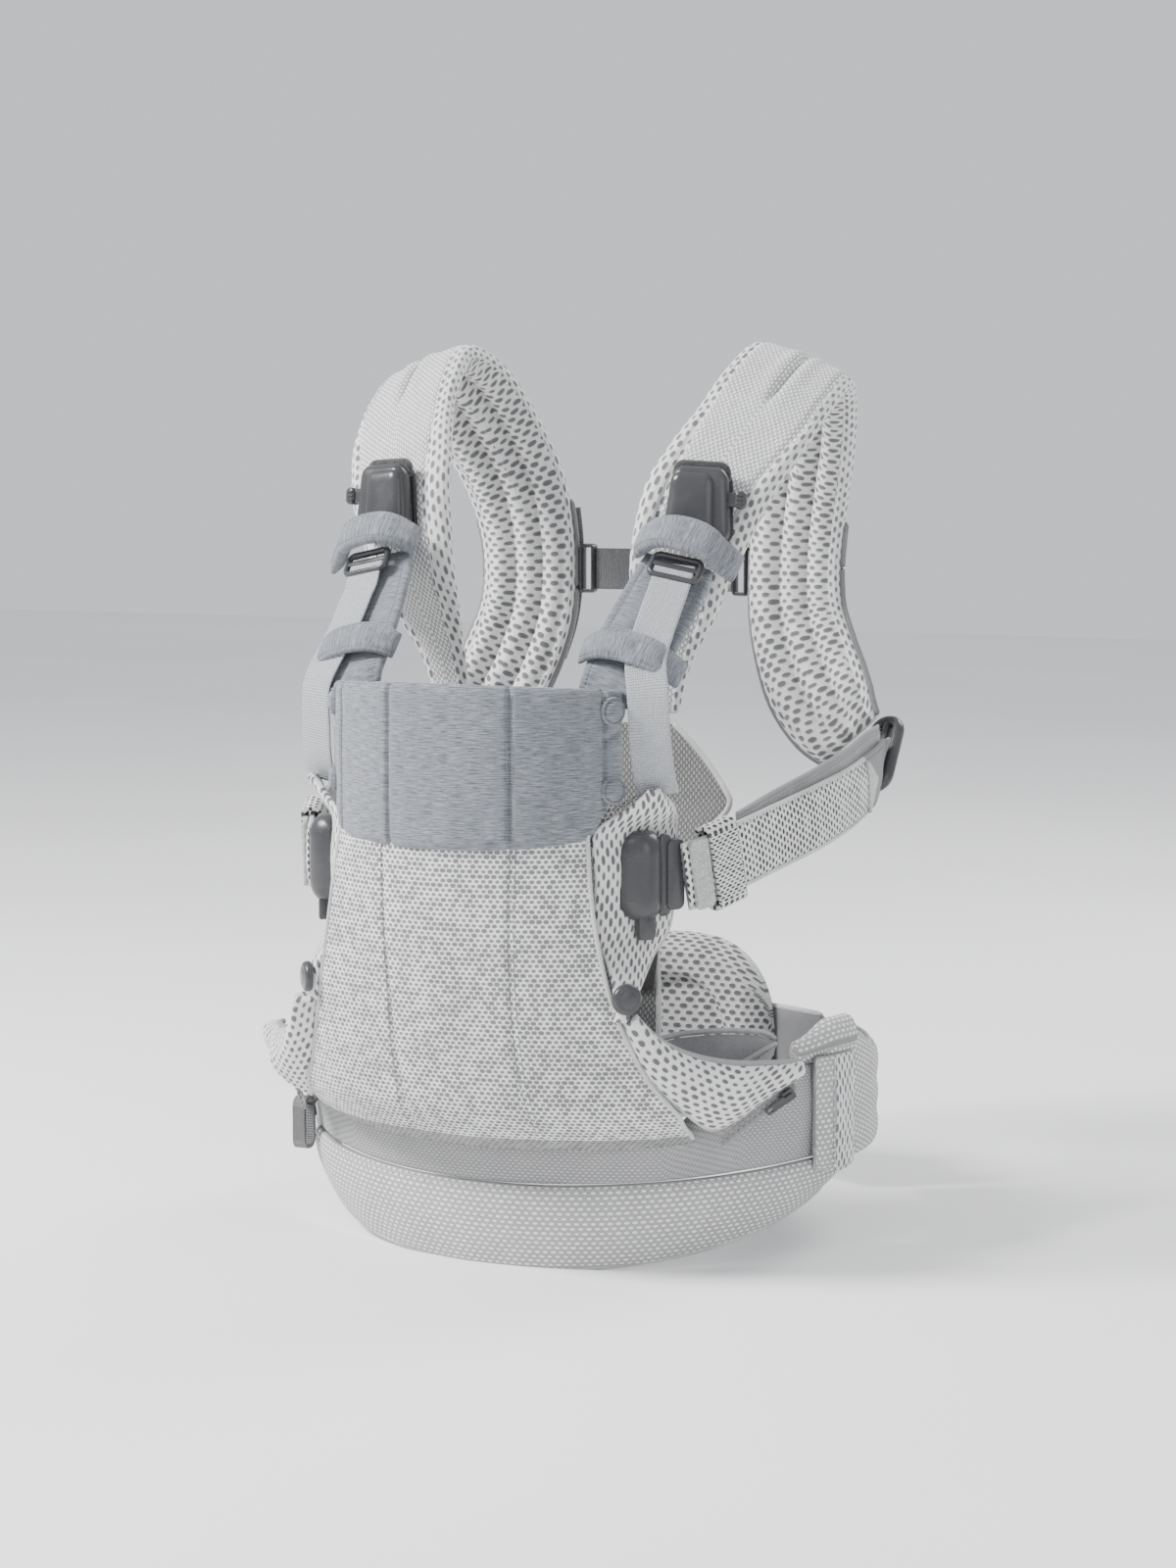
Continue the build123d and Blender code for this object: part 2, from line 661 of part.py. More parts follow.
os.makedirs("parts", exist_ok=True)
make_belt()
make_waist_buckle()
make_front_panel()
make_yoke()
make_flap()
make_side_wing()
make_leg_wings()
make_zips()
make_bib()
make_arms()
make_webbing()
make_ladder_buckle()
make_adjuster()
make_top_buckle()
make_side_buckle()
make_studs()
make_shoulder_straps()
make_back_strap()
make_side_strap()
make_finger_loop()
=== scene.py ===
"""Looks of the soft baby carrier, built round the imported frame.

Shapes are worked out in millimetres and become metres in add_mesh(). Every cloth surface
carries a point attribute called weave, its flat cloth coordinates in millimetres, which
the fabric materials read for their holes, dashes and ribs.
"""
import math

import bmesh
import bpy
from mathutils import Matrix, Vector, noise


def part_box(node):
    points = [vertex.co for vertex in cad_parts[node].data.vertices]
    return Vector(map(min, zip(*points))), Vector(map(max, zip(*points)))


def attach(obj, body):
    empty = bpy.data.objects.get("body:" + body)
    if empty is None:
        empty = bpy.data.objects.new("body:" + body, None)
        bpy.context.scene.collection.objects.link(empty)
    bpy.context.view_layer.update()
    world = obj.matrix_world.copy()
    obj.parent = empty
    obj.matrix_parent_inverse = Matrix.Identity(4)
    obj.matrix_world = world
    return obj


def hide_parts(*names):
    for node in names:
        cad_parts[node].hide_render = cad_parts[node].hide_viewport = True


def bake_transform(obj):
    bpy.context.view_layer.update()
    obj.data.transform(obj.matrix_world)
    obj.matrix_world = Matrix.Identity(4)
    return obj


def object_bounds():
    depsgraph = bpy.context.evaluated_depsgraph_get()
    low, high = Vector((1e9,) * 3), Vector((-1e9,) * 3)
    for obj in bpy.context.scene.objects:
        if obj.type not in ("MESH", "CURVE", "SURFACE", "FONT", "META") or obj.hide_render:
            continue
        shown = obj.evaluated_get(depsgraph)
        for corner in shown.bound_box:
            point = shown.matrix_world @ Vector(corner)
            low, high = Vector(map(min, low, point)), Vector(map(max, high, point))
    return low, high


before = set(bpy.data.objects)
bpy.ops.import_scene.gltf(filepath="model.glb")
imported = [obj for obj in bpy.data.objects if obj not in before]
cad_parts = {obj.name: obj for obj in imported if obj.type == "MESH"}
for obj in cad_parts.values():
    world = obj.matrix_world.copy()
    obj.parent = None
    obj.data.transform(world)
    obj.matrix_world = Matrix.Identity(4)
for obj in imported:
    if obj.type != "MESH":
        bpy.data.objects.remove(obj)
CAD_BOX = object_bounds()
MILLIMETRE = 0.001
PER_METRE = 1000


def corners(node):
    """Lowest and highest corner of a CAD node in millimetres."""
    low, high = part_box(node)
    return low * PER_METRE, high * PER_METRE


# Driving sizes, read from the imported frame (millimetres)
BELLY_LOW = corners("belly_panel")[0]
FLAP_LOW, FLAP_HIGH = corners("head_flap_cover")
LUMBAR_LOW, LUMBAR_HIGH = corners("lumbar_cover")
YOKE_LOW, YOKE_HIGH = corners("panel_yoke")
BACK_LOW, BACK_HIGH = corners("back_belt")
BELT_HALF_X = 188.0
BELT_HALF_Y = 161.0
CHEST_AXIS_Y = -122.0
SIDES = (("right", 1), ("left", -1))


# Numbers and curves

def clamp(value, low=0.0, high=1.0):
    return max(low, min(high, value))


def ease(value):
    """Smooth step from 0 to 1."""
    value = clamp(value)
    return value * value * (3 - 2 * value)


def dip(x, centre, width):
    """Bell of height 1."""
    return math.exp(-((x - centre) / width) ** 2)


def parts(count):
    """Numbers from 0 to 1 in count equal steps."""
    return [k / count for k in range(count + 1)]


def round_turn(count):
    """Angles of count equal steps round a circle."""
    return [2 * math.pi * k / count for k in range(count)]


def running(points):
    """Length along a line of points, from its first point to each one."""
    found = [0.0]
    for a, b in zip(points, points[1:]):
        found.append(found[-1] + (Vector(b) - Vector(a)).length)
    return found


def mirrored(point, side):
    """The point itself for side 1, its mirror image on the left for side -1."""
    return Vector((point[0] * side, point[1], point[2]))


def through(points, count):
    """Catmull-Rom curve through tuples of numbers, as count evenly spaced samples."""
    last = len(points) - 1
    found = []
    for step in range(count):
        place = step / (count - 1) * last
        index = min(int(place), last - 1)
        f = place - index
        a, b = points[max(index - 1, 0)], points[index]
        c, d = points[index + 1], points[min(index + 2, last)]
        found.append(tuple(
            0.5 * (2 * q + (r - p) * f + (2 * p - 5 * q + 4 * r - s) * f * f
                   + (3 * q - p - 3 * r + s) * f ** 3)
            for p, q, r, s in zip(a, b, c, d)
        ))
    return found


def wobble(point, size, depth, seed=0.0):
    """Soft unevenness of cloth: smooth noise with waves of that size, in millimetres."""
    return depth * noise.noise(Vector(point) / size + Vector((seed, seed, seed)))


# Meshes

def add_mesh(name, points, faces, materials, weave=None, face_materials=None, smooth=True):
    """New object from points in millimetres."""
    mesh = bpy.data.meshes.new(name)
    mesh.from_pydata([Vector(p) * MILLIMETRE for p in points], [], faces)
    if weave:
        layer = mesh.attributes.new("weave", "FLOAT_VECTOR", "POINT")
        layer.data.foreach_set("vector", [c for pair in weave for c in (pair[0], pair[1], 0.0)])
    for material in materials:
        mesh.materials.append(material)
    if face_materials:
        mesh.polygons.foreach_set("material_index", face_materials)
    mesh.polygons.foreach_set("use_smooth", [smooth] * len(mesh.polygons))
    mesh.update()
    piece = bpy.data.objects.new(name, mesh)
    bpy.context.collection.objects.link(piece)
    return piece


def finish_piece(piece, body, replaces=(), subdivide=0):
    """Subdivide, then tie the piece to its body and the nodes it stands for.
    """
    if subdivide:
        modifier = piece.modifiers.new("smooth", "SUBSURF")
        modifier.levels = subdivide
        modifier.render_levels = subdivide
    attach(piece, body)
    if replaces:
        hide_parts(*replaces)


def once(sign, *nodes):
    """Nodes that hold both sides at once: the piece on the right stands for them."""
    return nodes if sign > 0 else ()


def loop_mesh(name, rings, materials, weave, ring_materials=None, caps=True):
    """Tube through rings of as many points each; ring_materials(ring, point) picks its materials.

    Caps close its ends; without them the last ring lies on the first.
    """
    count = len(rings[0])
    points = [p for ring in rings for p in ring]
    flat = [w for ring in weave for w in ring]
    faces, face_materials = [], []
    for i in range(len(rings) - 1):
        for j in range(count):
            k = (j + 1) % count
            faces.append((i * count + j, i * count + k, (i + 1) * count + k, (i + 1) * count + j))
            face_materials.append(ring_materials(i, j) if ring_materials else 0)
    if caps:
        for start, ring in ((0, 0), (len(points) - count, len(rings) - 1)):
            points.append(sum((Vector(p) for p in rings[ring]), Vector()) / count)
            flat.append(flat[start])
            for j in range(count):
                face = (start + j, start + (j + 1) % count, len(points) - 1)
                faces.append(face if start else face[::-1])
                face_materials.append(face_materials[0 if start == 0 else -1])
    piece = add_mesh(name, points, faces, materials, flat, face_materials)
    fix_normals(piece)
    return piece


def grid_normals(rows):
    """Unit normal at each point of a grid of points."""
    found = []
    for i, row in enumerate(rows):
        line = []
        for j in range(len(row)):
            du = Vector(rows[min(i + 1, len(rows) - 1)][j]) - Vector(rows[max(i - 1, 0)][j])
            dv = Vector(row[min(j + 1, len(row) - 1)]) - Vector(row[max(j - 1, 0)])
            normal = du.cross(dv)
            line.append(normal.normalized() if normal.length > 1e-9 else Vector((0, 0, 1)))
        found.append(line)
    return found


def cloth_lengths(rows, centre):
    """Flat cloth coordinates: length along each row from its centre column, and down the rows."""
    found = []
    for row, down in zip(rows, running([row[centre] for row in rows])):
        along = running(row)
        found.append([(value - along[centre], down) for value in along])
    return found


def rim_loop(rows, columns):
    """Numbers of the points round the rim of a grid, in order."""
    rim = list(range(columns)) + [i * columns + columns - 1 for i in range(1, rows)]
    rim += [(rows - 1) * columns + j for j in range(columns - 2, -1, -1)]
    return rim + [i * columns for i in range(rows - 2, 0, -1)]


def pad_mesh(name, columns, front, back, materials, weave, kinds=None):
    """Closed pad: a front grid of points with that many columns and a back grid behind it.

    kinds are the materials of the front and the back; the rim has the front's.
    """
    count = len(front)
    faces, face_materials = [], []
    for a in range(count - columns):
        if (a + 1) % columns:
            faces.append((a, a + 1, a + columns + 1, a + columns))
            faces.append((a + count, a + columns + count, a + columns + 1 + count, a + 1 + count))
            face_materials += kinds or (0, 0)
    rim = rim_loop(count // columns, columns)
    faces += [(a, a + count, b + count, b) for a, b in zip(rim, rim[1:] + rim[:1])]
    face_materials += [0] * len(rim)
    piece = add_mesh(name, front + back, faces, materials, weave * 2, face_materials)
    fix_normals(piece)
    return piece


def sheet_mesh(name, grid, thick, materials, flip=False, column_materials=None):
    """Closed thin sheet: a grid of points given thickness along its normals, with a back face.

    thick is a number or a function of the places 0..1 down and across the grid; flip turns
    the front round; column_materials(row, column) picks its materials.
    """
    rows, columns = len(grid), len(grid[0])
    count = rows * columns
    thickness = thick if callable(thick) else (lambda down, across: thick)
    front, back = [], []
    for i, (line, normals) in enumerate(zip(grid, grid_normals(grid))):
        for j, (point, normal) in enumerate(zip(line, normals)):
            lift = normal * ((-1 if flip else 1) * thickness(i / (rows - 1), j / (columns - 1)) / 2)
            front.append(Vector(point) + lift)
            back.append(Vector(point) - lift)
    faces, kinds = [], []
    for i in range(rows - 1):
        for j in range(columns - 1):
            a = i * columns + j
            face = (a, a + 1, a + columns + 1, a + columns)
            if flip:
                face = (a, a + columns, a + columns + 1, a + 1)
            faces += [face[::-1], tuple(number + count for number in face)]
            kinds += [column_materials(i, j) if column_materials else 0] * 2
    rim = rim_loop(rows, columns)
    faces += [(a, b, b + count, a + count) for a, b in zip(rim, rim[1:] + rim[:1])]
    kinds += [0] * len(rim)
    weave = [place for line in cloth_lengths(grid, columns // 2) for place in line]
    piece = add_mesh(name, front + back, faces, materials, weave * 2, kinds)
    fix_normals(piece)
    return piece


def fix_normals(piece):
    """Turn every face outward."""
    work = bmesh.new()
    work.from_mesh(piece.data)
    bmesh.ops.remove_doubles(work, verts=work.verts, dist=1e-7)
    bmesh.ops.recalc_face_normals(work, faces=work.faces)
    work.to_mesh(piece.data)
    work.free()


def ribbon_frames(stations, count):
    """Smooth frames along a band: (centre, across, outward, width, thickness, length so far)."""
    samples = through([(*s[0], *s[1], *s[2:]) for s in stations], count)
    centres = [Vector(s[:3]) for s in samples]
    frames, run = [], 0.0
    for i, s in enumerate(samples):
        tangent = (centres[min(i + 1, count - 1)] - centres[max(i - 1, 0)]).normalized()
        across = Vector(s[3:6])
        across = (across - tangent * across.dot(tangent)).normalized()
        outward = across.cross(tangent)
        run += (centres[i] - centres[i - 1]).length if i else 0.0
        frames.append((centres[i], across, outward, *s[6:], run))
    return frames


def band_section(width, thick, steps):
    """Closed section of a padded band: (across, height, place 0 top / 1 edge / 2 bottom)."""
    r = thick / 2
    half = width / 2 - r
    turns = [math.pi * f for f in parts(5)[1:-1]]
    points = [(-half + 2 * half * f, r, 0) for f in parts(steps)]
    points += [(half + r * math.sin(a), r * math.cos(a), 1) for a in turns]
    points += [(half - 2 * half * f, -r, 2) for f in parts(steps)]
    points += [(-half - r * math.sin(a), -r * math.cos(a), 1) for a in turns]
    return points


def folded_lengths(section):
    """Distance round a section from the middle of its top, the same on both sides."""
    middle = sum(1 for point in section if point[2] == 0) // 2
    turned = section[middle:] + section[:middle]
    around = running([(a, h, 0) for a, h, _ in turned + turned[:1]])
    folded = [min(length, around[-1] - length) for length in around[:-1]]
    return folded[-middle:] + folded[:-middle]


def band(name, stations, count, materials, side=1, shape=None, kinds=None, ends=2.0, steps=24):
    """Padded or flat band along stations of (centre, across, width, thickness).

    shape(x, place, t, run) moves a section point outward by that many millimetres, where x is
    -1..1 across and t 0..1 along. kinds(x, place, t) picks its material.
    """
    frames = ribbon_frames(stations, count)
    rings, weave, tags = [], [], []
    for i, (centre, across, outward, width, thick, run) in enumerate(frames):
        t = i / (count - 1)
        pinch = min(1.0, 0.35 + 0.65 * min(i, count - 1 - i) / ends) if ends else 1.0
        section = band_section(width, thick * pinch, steps)
        lengths = folded_lengths(section)
        ring, flat, tag = [], [], []
        for (a, h, place), length in zip(section, lengths):
            x = clamp(a / (width / 2), -1, 1)
            lift = shape(x, place, t, run) * pinch if shape else 0.0
            h += lift if place != 2 else -lift
            ring.append(mirrored(centre + across * a + outward * h, side))
            flat.append((length, run))
            tag.append(kinds(x, place, t) if kinds else 0)
        rings.append(ring)
        weave.append(flat)
        tags.append(tag)
    return loop_mesh(name, rings, materials, weave, lambda i, j: tags[i][j])


def tube(name, path, radius, material):
    """Round piping along a path, thinner at its ends."""
    path = [Vector(p) for p in path]
    last = len(path) - 1
    rings, weave = [], []
    turns = round_turn(8)
    for i, (centre, run) in enumerate(zip(path, running(path))):
        tangent = (path[min(i + 1, last)] - path[max(i - 1, 0)]).normalized()
        side = tangent.cross(Vector((0, 0, 1)))
        side = side.normalized() if side.length > 0.05 else tangent.cross(Vector((1, 0, 0))).normalized()
        out = side.cross(tangent)
        r = radius * min(1.0, 0.4 + 0.6 * min(i, last - i))
        rings.append([centre + side * (r * math.cos(a)) + out * (r * math.sin(a)) for a in turns])
        weave.append([(radius * a, run) for a in turns])
    return loop_mesh(name, rings, [material], weave)


def resample(path, spacing):
    """Points along a path at that spacing."""
    path = [Vector(p) for p in path]
    found, carry = [path[0]], 0.0
    for a, b in zip(path, path[1:]):
        length = (b - a).length
        place = spacing - carry
        while place <= length:
            found.append(a.lerp(b, place / length))
            place += spacing
        carry = (carry + length) % spacing
    return found


def stitches(name, paths, material, length=2.4, gap=1.1, radius=0.32):
    """One mesh of short thread stitches along several paths."""
    points, faces = [], []
    for path in paths:
        marks = resample(path, (length + gap) / 4)
        for i in range(0, len(marks) - 3, 4):
            a, b = marks[i], marks[i + 3]
            tangent = (b - a).normalized()
            side = tangent.cross(Vector((0.3, 0.2, 0.93))).normalized()
            out = side.cross(tangent)
            base = len(points)
            for f, r in ((0, 0.2), (0.25, 0.9), (0.75, 0.9), (1, 0.2)):
                middle = a.lerp(b, f)
                for k in range(6):
                    turn = math.pi * k / 3
                    points.append(middle + (side * math.cos(turn) + out * math.sin(turn)) * radius * r)
            for ring in range(3):
                for k in range(6):
                    p, q = base + ring * 6 + k, base + ring * 6 + (k + 1) % 6
                    faces.append((p, q, q + 6, p + 6))
            faces.append(tuple(base + k for k in range(5, -1, -1)))
            faces.append(tuple(base + 18 + k for k in range(6)))
    return add_mesh(name, points, faces, [material])


def puff(piece, pinned, pressure, cap):
    """Swell a closed cloth mesh with air, held at its pinned points, and keep the result.

    No point moves further than cap millimetres.
    """
    frames, stiffness = 20, 12.0
    group = piece.vertex_groups.new(name="pinned")
    group.add(pinned, 1.0, "REPLACE")
    rest = [v.co.copy() for v in piece.data.vertices]
    cloth = piece.modifiers.new("cloth", "CLOTH")
    settings = cloth.settings
    settings.vertex_group_mass = "pinned"
    settings.use_pressure = True
    settings.uniform_pressure_force = pressure
    settings.effector_weights.gravity = 0.0
    settings.tension_stiffness = stiffness
    settings.compression_stiffness = stiffness
    settings.shear_stiffness = stiffness / 2
    settings.bending_stiffness = 1.0
    settings.mass = 0.15
    settings.quality = 6
    cloth.point_cache.frame_start = 1
    cloth.point_cache.frame_end = frames
    scene = bpy.context.scene
    for number in range(1, frames + 1):
        scene.frame_set(number)
    view = bpy.context.evaluated_depsgraph_get()
    swollen = [v.co.copy() for v in piece.evaluated_get(view).data.vertices]
    piece.modifiers.remove(cloth)
    scene.frame_set(1)
    for vertex, start, end in zip(piece.data.vertices, rest, swollen):
        move = end - start
        if move.length > cap * MILLIMETRE:
            move = move.normalized() * cap * MILLIMETRE
        vertex.co = start + move
    piece.vertex_groups.clear()


# Materials

class Paint:
    """Short way to write a material's node tree."""

    def __init__(self, name, roughness=0.85, sheen=0.0, specular=0.5):
        self.material = bpy.data.materials.new(name)
        self.material.use_nodes = True
        self.tree = self.material.node_tree
        self.shader = self.tree.nodes["Principled BSDF"]
        self.shader.inputs["Roughness"].default_value = roughness
        self.shader.inputs["Specular IOR Level"].default_value = specular
        if sheen:
            self.shader.inputs["Sheen Weight"].default_value = sheen
            self.shader.inputs["Sheen Roughness"].default_value = 0.5

    def put(self, socket, value):
        """Set an input from another node's output, a number or a colour of three numbers."""
        if isinstance(value, bpy.types.NodeSocket):
            self.tree.links.new(value, socket)
        else:
            socket.default_value = (*value, 1.0) if isinstance(value, tuple) else value

    def node(self, kind, **settings):
        node = self.tree.nodes.new(kind)
        for key, value in settings.items():
            setattr(node, key, value)
        return node

    def fed(self, kind, values, **settings):
        """First output of a new node with those values on its first inputs."""
        node = self.node(kind, **settings)
        for socket, value in zip(node.inputs, values):
            self.put(socket, value)
        return node.outputs[0]

    def math(self, operation, a, b=0.0, c=0.0):
        return self.fed("ShaderNodeMath", (a, b, c), operation=operation)

    def span(self, value, low, high, to_low=0.0, to_high=1.0):
        """Smooth ramp of value from low..high to to_low..to_high."""
        numbers = (value, low, high, to_low, to_high)
        return self.fed("ShaderNodeMapRange", numbers, interpolation_type="SMOOTHSTEP")

    def mix(self, factor, a, b):
        node = self.node("ShaderNodeMix", data_type="RGBA")
        for socket, value in (("Factor", factor), ("A", a), ("B", b)):
            self.put(node.inputs[socket], value)
        return node.outputs["Result"]

    def weave(self):
        """Cloth coordinates across and along, in millimetres."""
        source = self.node("ShaderNodeAttribute", attribute_name="weave")
        split = self.node("ShaderNodeSeparateXYZ")
        self.put(split.inputs[0], source.outputs["Vector"])
        return split.outputs[0], split.outputs[1]

    def space(self):
        """Position on the object in metres."""
        return self.node("ShaderNodeTexCoord").outputs["Object"]

    def join(self, x, y):
        return self.fed("ShaderNodeCombineXYZ", (x, y, 0.0))

    def noise(self, vector, scale, detail=2.0, roughness=0.5):
        node = self.node("ShaderNodeTexNoise")
        names = ("Vector", "Scale", "Detail", "Roughness")
        for socket, value in zip(names, (vector, scale, detail, roughness)):
            self.put(node.inputs[socket], value)
        return node.outputs["Fac"]

    def wave(self, value, pitch):
        """Sine of value, 0..1, once every pitch millimetres."""
        turn = self.math("SINE", self.math("MULTIPLY", value, 2 * math.pi / pitch))
        return self.math("MULTIPLY_ADD", turn, 0.5, 0.5)

    def cells(self, long, short, long_pitch, row_pitch, half_long, half_short, power, jitter):
        """Staggered rows of ovals: distance from each one's middle, 1 on its rim, and a random number."""
        row_place = self.math("DIVIDE", short, row_pitch)
        row = self.math("FLOOR", row_place)
        shift = self.math("MULTIPLY", self.math("FLOORED_MODULO", row, 2.0), 0.5)
        column_place = self.math("ADD", self.math("DIVIDE", long, long_pitch), shift)
        column = self.math("FLOOR", column_place)
        chance = self.node("ShaderNodeTexWhiteNoise", noise_dimensions="2D")
        self.put(chance.inputs["Vector"], self.join(column, row))
        grow = self.span(chance.outputs["Value"], 0.0, 1.0, 1 - jitter, 1 + jitter)
        terms = []
        for place, cell, pitch, half in (
            (column_place, column, long_pitch, half_long),
            (row_place, row, row_pitch, half_short),
        ):
            offset = self.math("SUBTRACT", self.math("SUBTRACT", place, cell), 0.5)
            size = self.math("DIVIDE", self.math("MULTIPLY", offset, pitch / half), grow)
            terms.append(self.math("POWER", self.math("ABSOLUTE", size), power))
        distance = self.math("POWER", self.math("ADD", *terms), 1 / power)
        return distance, chance.outputs["Value"]

    def relief(self, height, depth):
        """Bump of that many metres."""
        node = self.node("ShaderNodeBump")
        node.inputs["Strength"].default_value = 1.0
        node.inputs["Distance"].default_value = depth
        self.put(node.inputs["Height"], height)
        self.put(self.shader.inputs["Normal"], node.outputs[0])

    def done(self, colour):
        self.put(self.shader.inputs["Base Color"], colour)
        return self.material


def tint(colour, factor):
    """Lighter or darker colour."""
    return tuple(min(0.95, c * factor) for c in colour)


def spacer_mesh(name, light, hole, cell, turned=False, power=2.3):
    """Knitted spacer mesh: staggered oval holes, darkened with painted shade that is darkest at their
    middle.

    cell is (long pitch, row pitch, half long, half short) in millimetres.
    """
    p = Paint(name, 0.9, sheen=0.15, specular=0.3)
    u, v = p.weave()
    distance, chance = p.cells(*((v, u) if turned else (u, v)), *cell, power=power, jitter=0.16)
    inside = p.span(distance, 0.86, 1.1, 1.0, 0.0)
    rim = p.span(distance, 1.0, 1.5, 1.0, 0.0)
    hole_middle_shade = p.span(distance, 0.3, 1.0, 1.0, 0.0)
    thread = p.math("MULTIPLY", p.wave(p.math("ADD", u, v), 1.25), p.wave(p.math("SUBTRACT", u, v), 1.25))
    patch = p.noise(p.space(), 45.0, 3.0)
    fleck = p.noise(p.space(), 900.0, 2.0)
    cloth = p.mix(p.span(thread, 0.0, 0.7, 0.22, 0.0), light, tint(light, 0.6))
    cloth = p.mix(p.span(patch, 0.35, 0.7, 0.0, 0.16), cloth, tint(light, 0.62))
    cloth = p.mix(p.span(fleck, 0.4, 0.75, 0.0, 0.3), cloth, tint(light, 1.2))
    # Painted shade inside the holes: darker towards each hole's middle, and darker in some holes at random.
    pit = p.mix(hole_middle_shade, tint(hole, 1.45), hole)
    pit = p.mix(p.span(chance, 0.0, 1.0, 0.0, 0.35), pit, tint(hole, 0.6))
    height = p.math("SUBTRACT", p.math("MULTIPLY_ADD", thread, 0.12, p.math("MULTIPLY", rim, 0.18)), inside)
    p.relief(height, 0.0011)
    return p.done(p.mix(inside, cloth, pit))


def dash_mesh(name, ground, dash, cell, turned=False):
    """Woven mesh: rows of pale raised dashes on a darker knitted ground."""
    p = Paint(name, 0.85, sheen=0.12, specular=0.3)
    u, v = p.weave()
    distance, chance = p.cells(*((v, u) if turned else (u, v)), *cell, power=3.0, jitter=0.14)
    raised = p.span(distance, 0.75, 1.15, 1.0, 0.0)
    knit = p.math("MULTIPLY", p.wave(u, 1.15), p.wave(v, 1.0))
    patch = p.noise(p.space(), 38.0, 3.0)
    base = p.mix(p.span(knit, 0.0, 0.6, 0.45, 0.0), ground, tint(ground, 0.5))
    base = p.mix(p.span(patch, 0.35, 0.7, 0.0, 0.25), base, tint(ground, 0.62))
    pale = p.mix(p.span(chance, 0.0, 1.0, 0.0, 0.5), dash, tint(dash, 0.78))
    p.relief(p.math("MULTIPLY_ADD", knit, 0.25, raised), 0.0006)
    return p.done(p.mix(raised, base, pale))


def jersey_cloth():
    """Blue-grey melange jersey with fine sideways streaks."""
    p = Paint("jersey", 0.92, sheen=0.3, specular=0.25)
    u, v = p.weave()
    streak = p.noise(p.join(p.math("MULTIPLY", u, 0.1), p.math("MULTIPLY", v, 1.7)), 1.0, 4.0, 0.65)
    thread = p.noise(p.join(p.math("MULTIPLY", u, 0.3), p.math("MULTIPLY", v, 4.2)), 1.0, 2.0, 0.6)
    cloud = p.noise(p.space(), 26.0, 2.0)
    colour = p.mix(p.span(streak, 0.36, 0.64), (0.088, 0.098, 0.115), (0.31, 0.328, 0.35))
    colour = p.mix(p.span(thread, 0.5, 0.78, 0.0, 0.7), colour, (0.05, 0.06, 0.078))
    colour = p.mix(p.span(thread, 0.2, 0.42, 0.45, 0.0), colour, (0.42, 0.445, 0.475))
    colour = p.mix(p.span(cloud, 0.35, 0.7, 0.0, 0.2), colour, (0.15, 0.17, 0.2))
    rib = p.math("MULTIPLY", p.wave(u, 0.9), p.wave(v, 0.8))
    p.relief(p.math("MULTIPLY_ADD", thread, 0.9, rib), 0.00025)
    return p.done(colour)


def webbing_cloth(name, light):
    """Narrow woven webbing: fine ribs across and threads along."""
    pitch = 1.7
    p = Paint(name, 0.8, sheen=0.1, specular=0.3)
    u, v = p.weave()
    rib = p.wave(v, pitch)
    warp = p.wave(u, pitch * 0.85)
    cross = p.math("MULTIPLY", rib, warp)
    fleck = p.noise(p.space(), 700.0, 2.0)
    colour = p.mix(p.span(cross, 0.0, 0.8, 0.6, 0.0), light, tint(light, 0.5))
    colour = p.mix(p.span(fleck, 0.45, 0.75, 0.0, 0.35), colour, tint(light, 1.25))
    p.relief(p.math("MULTIPLY_ADD", rib, 0.6, cross), 0.0005)
    return p.done(colour)


def plain_cloth(name, light):
    """Smooth facing fabric with a fine weave and soft shading."""
    pitch = 0.9
    p = Paint(name, 0.85, sheen=0.15, specular=0.3)
    u, v = p.weave()
    weave = p.math("MULTIPLY", p.wave(u, pitch), p.wave(v, pitch))
    patch = p.noise(p.space(), 30.0, 3.0)
    fleck = p.noise(p.space(), 800.0, 2.0)
    colour = p.mix(p.span(patch, 0.3, 0.7), light, tint(light, 0.8))
    colour = p.mix(p.span(fleck, 0.4, 0.75, 0.0, 0.4), colour, tint(light, 0.6))
    p.relief(p.math("ADD", weave, fleck), 0.0002)
    return p.done(colour)


def moulded_plastic(name, light, roughness):
    """Matt moulded plastic: fine spark texture, faint flow marks and paler worn patches."""
    p = Paint(name, roughness, specular=0.42)
    spark = p.noise(p.space(), 2600.0, 2.0)
    flow = p.noise(p.space(), 60.0, 3.0)
    colour = p.mix(p.span(flow, 0.35, 0.7, 0.0, 0.5), light, tint(light, 1.3))
    colour = p.mix(p.span(spark, 0.55, 0.8, 0.0, 0.25), colour, tint(light, 1.8))
    p.put(p.shader.inputs["Roughness"], p.span(flow, 0.3, 0.75, roughness - 0.05, roughness + 0.1))
    p.relief(spark, 0.00004)
    return p.done(colour)


def fuzzy_cloth(name, light):
    """Brushed hook-and-loop face: short tangled fibres."""
    p = Paint(name, 0.95, sheen=0.4, specular=0.2)
    fibre = p.noise(p.space(), 650.0, 5.0, 0.7)
    tuft = p.noise(p.space(), 190.0, 2.0)
    colour = p.mix(p.span(fibre, 0.35, 0.65), tint(light, 0.5), light)
    colour = p.mix(p.span(tuft, 0.35, 0.65, 0.0, 0.35), colour, tint(light, 0.55))
    p.relief(p.math("ADD", fibre, tuft), 0.0008)
    return p.done(colour)


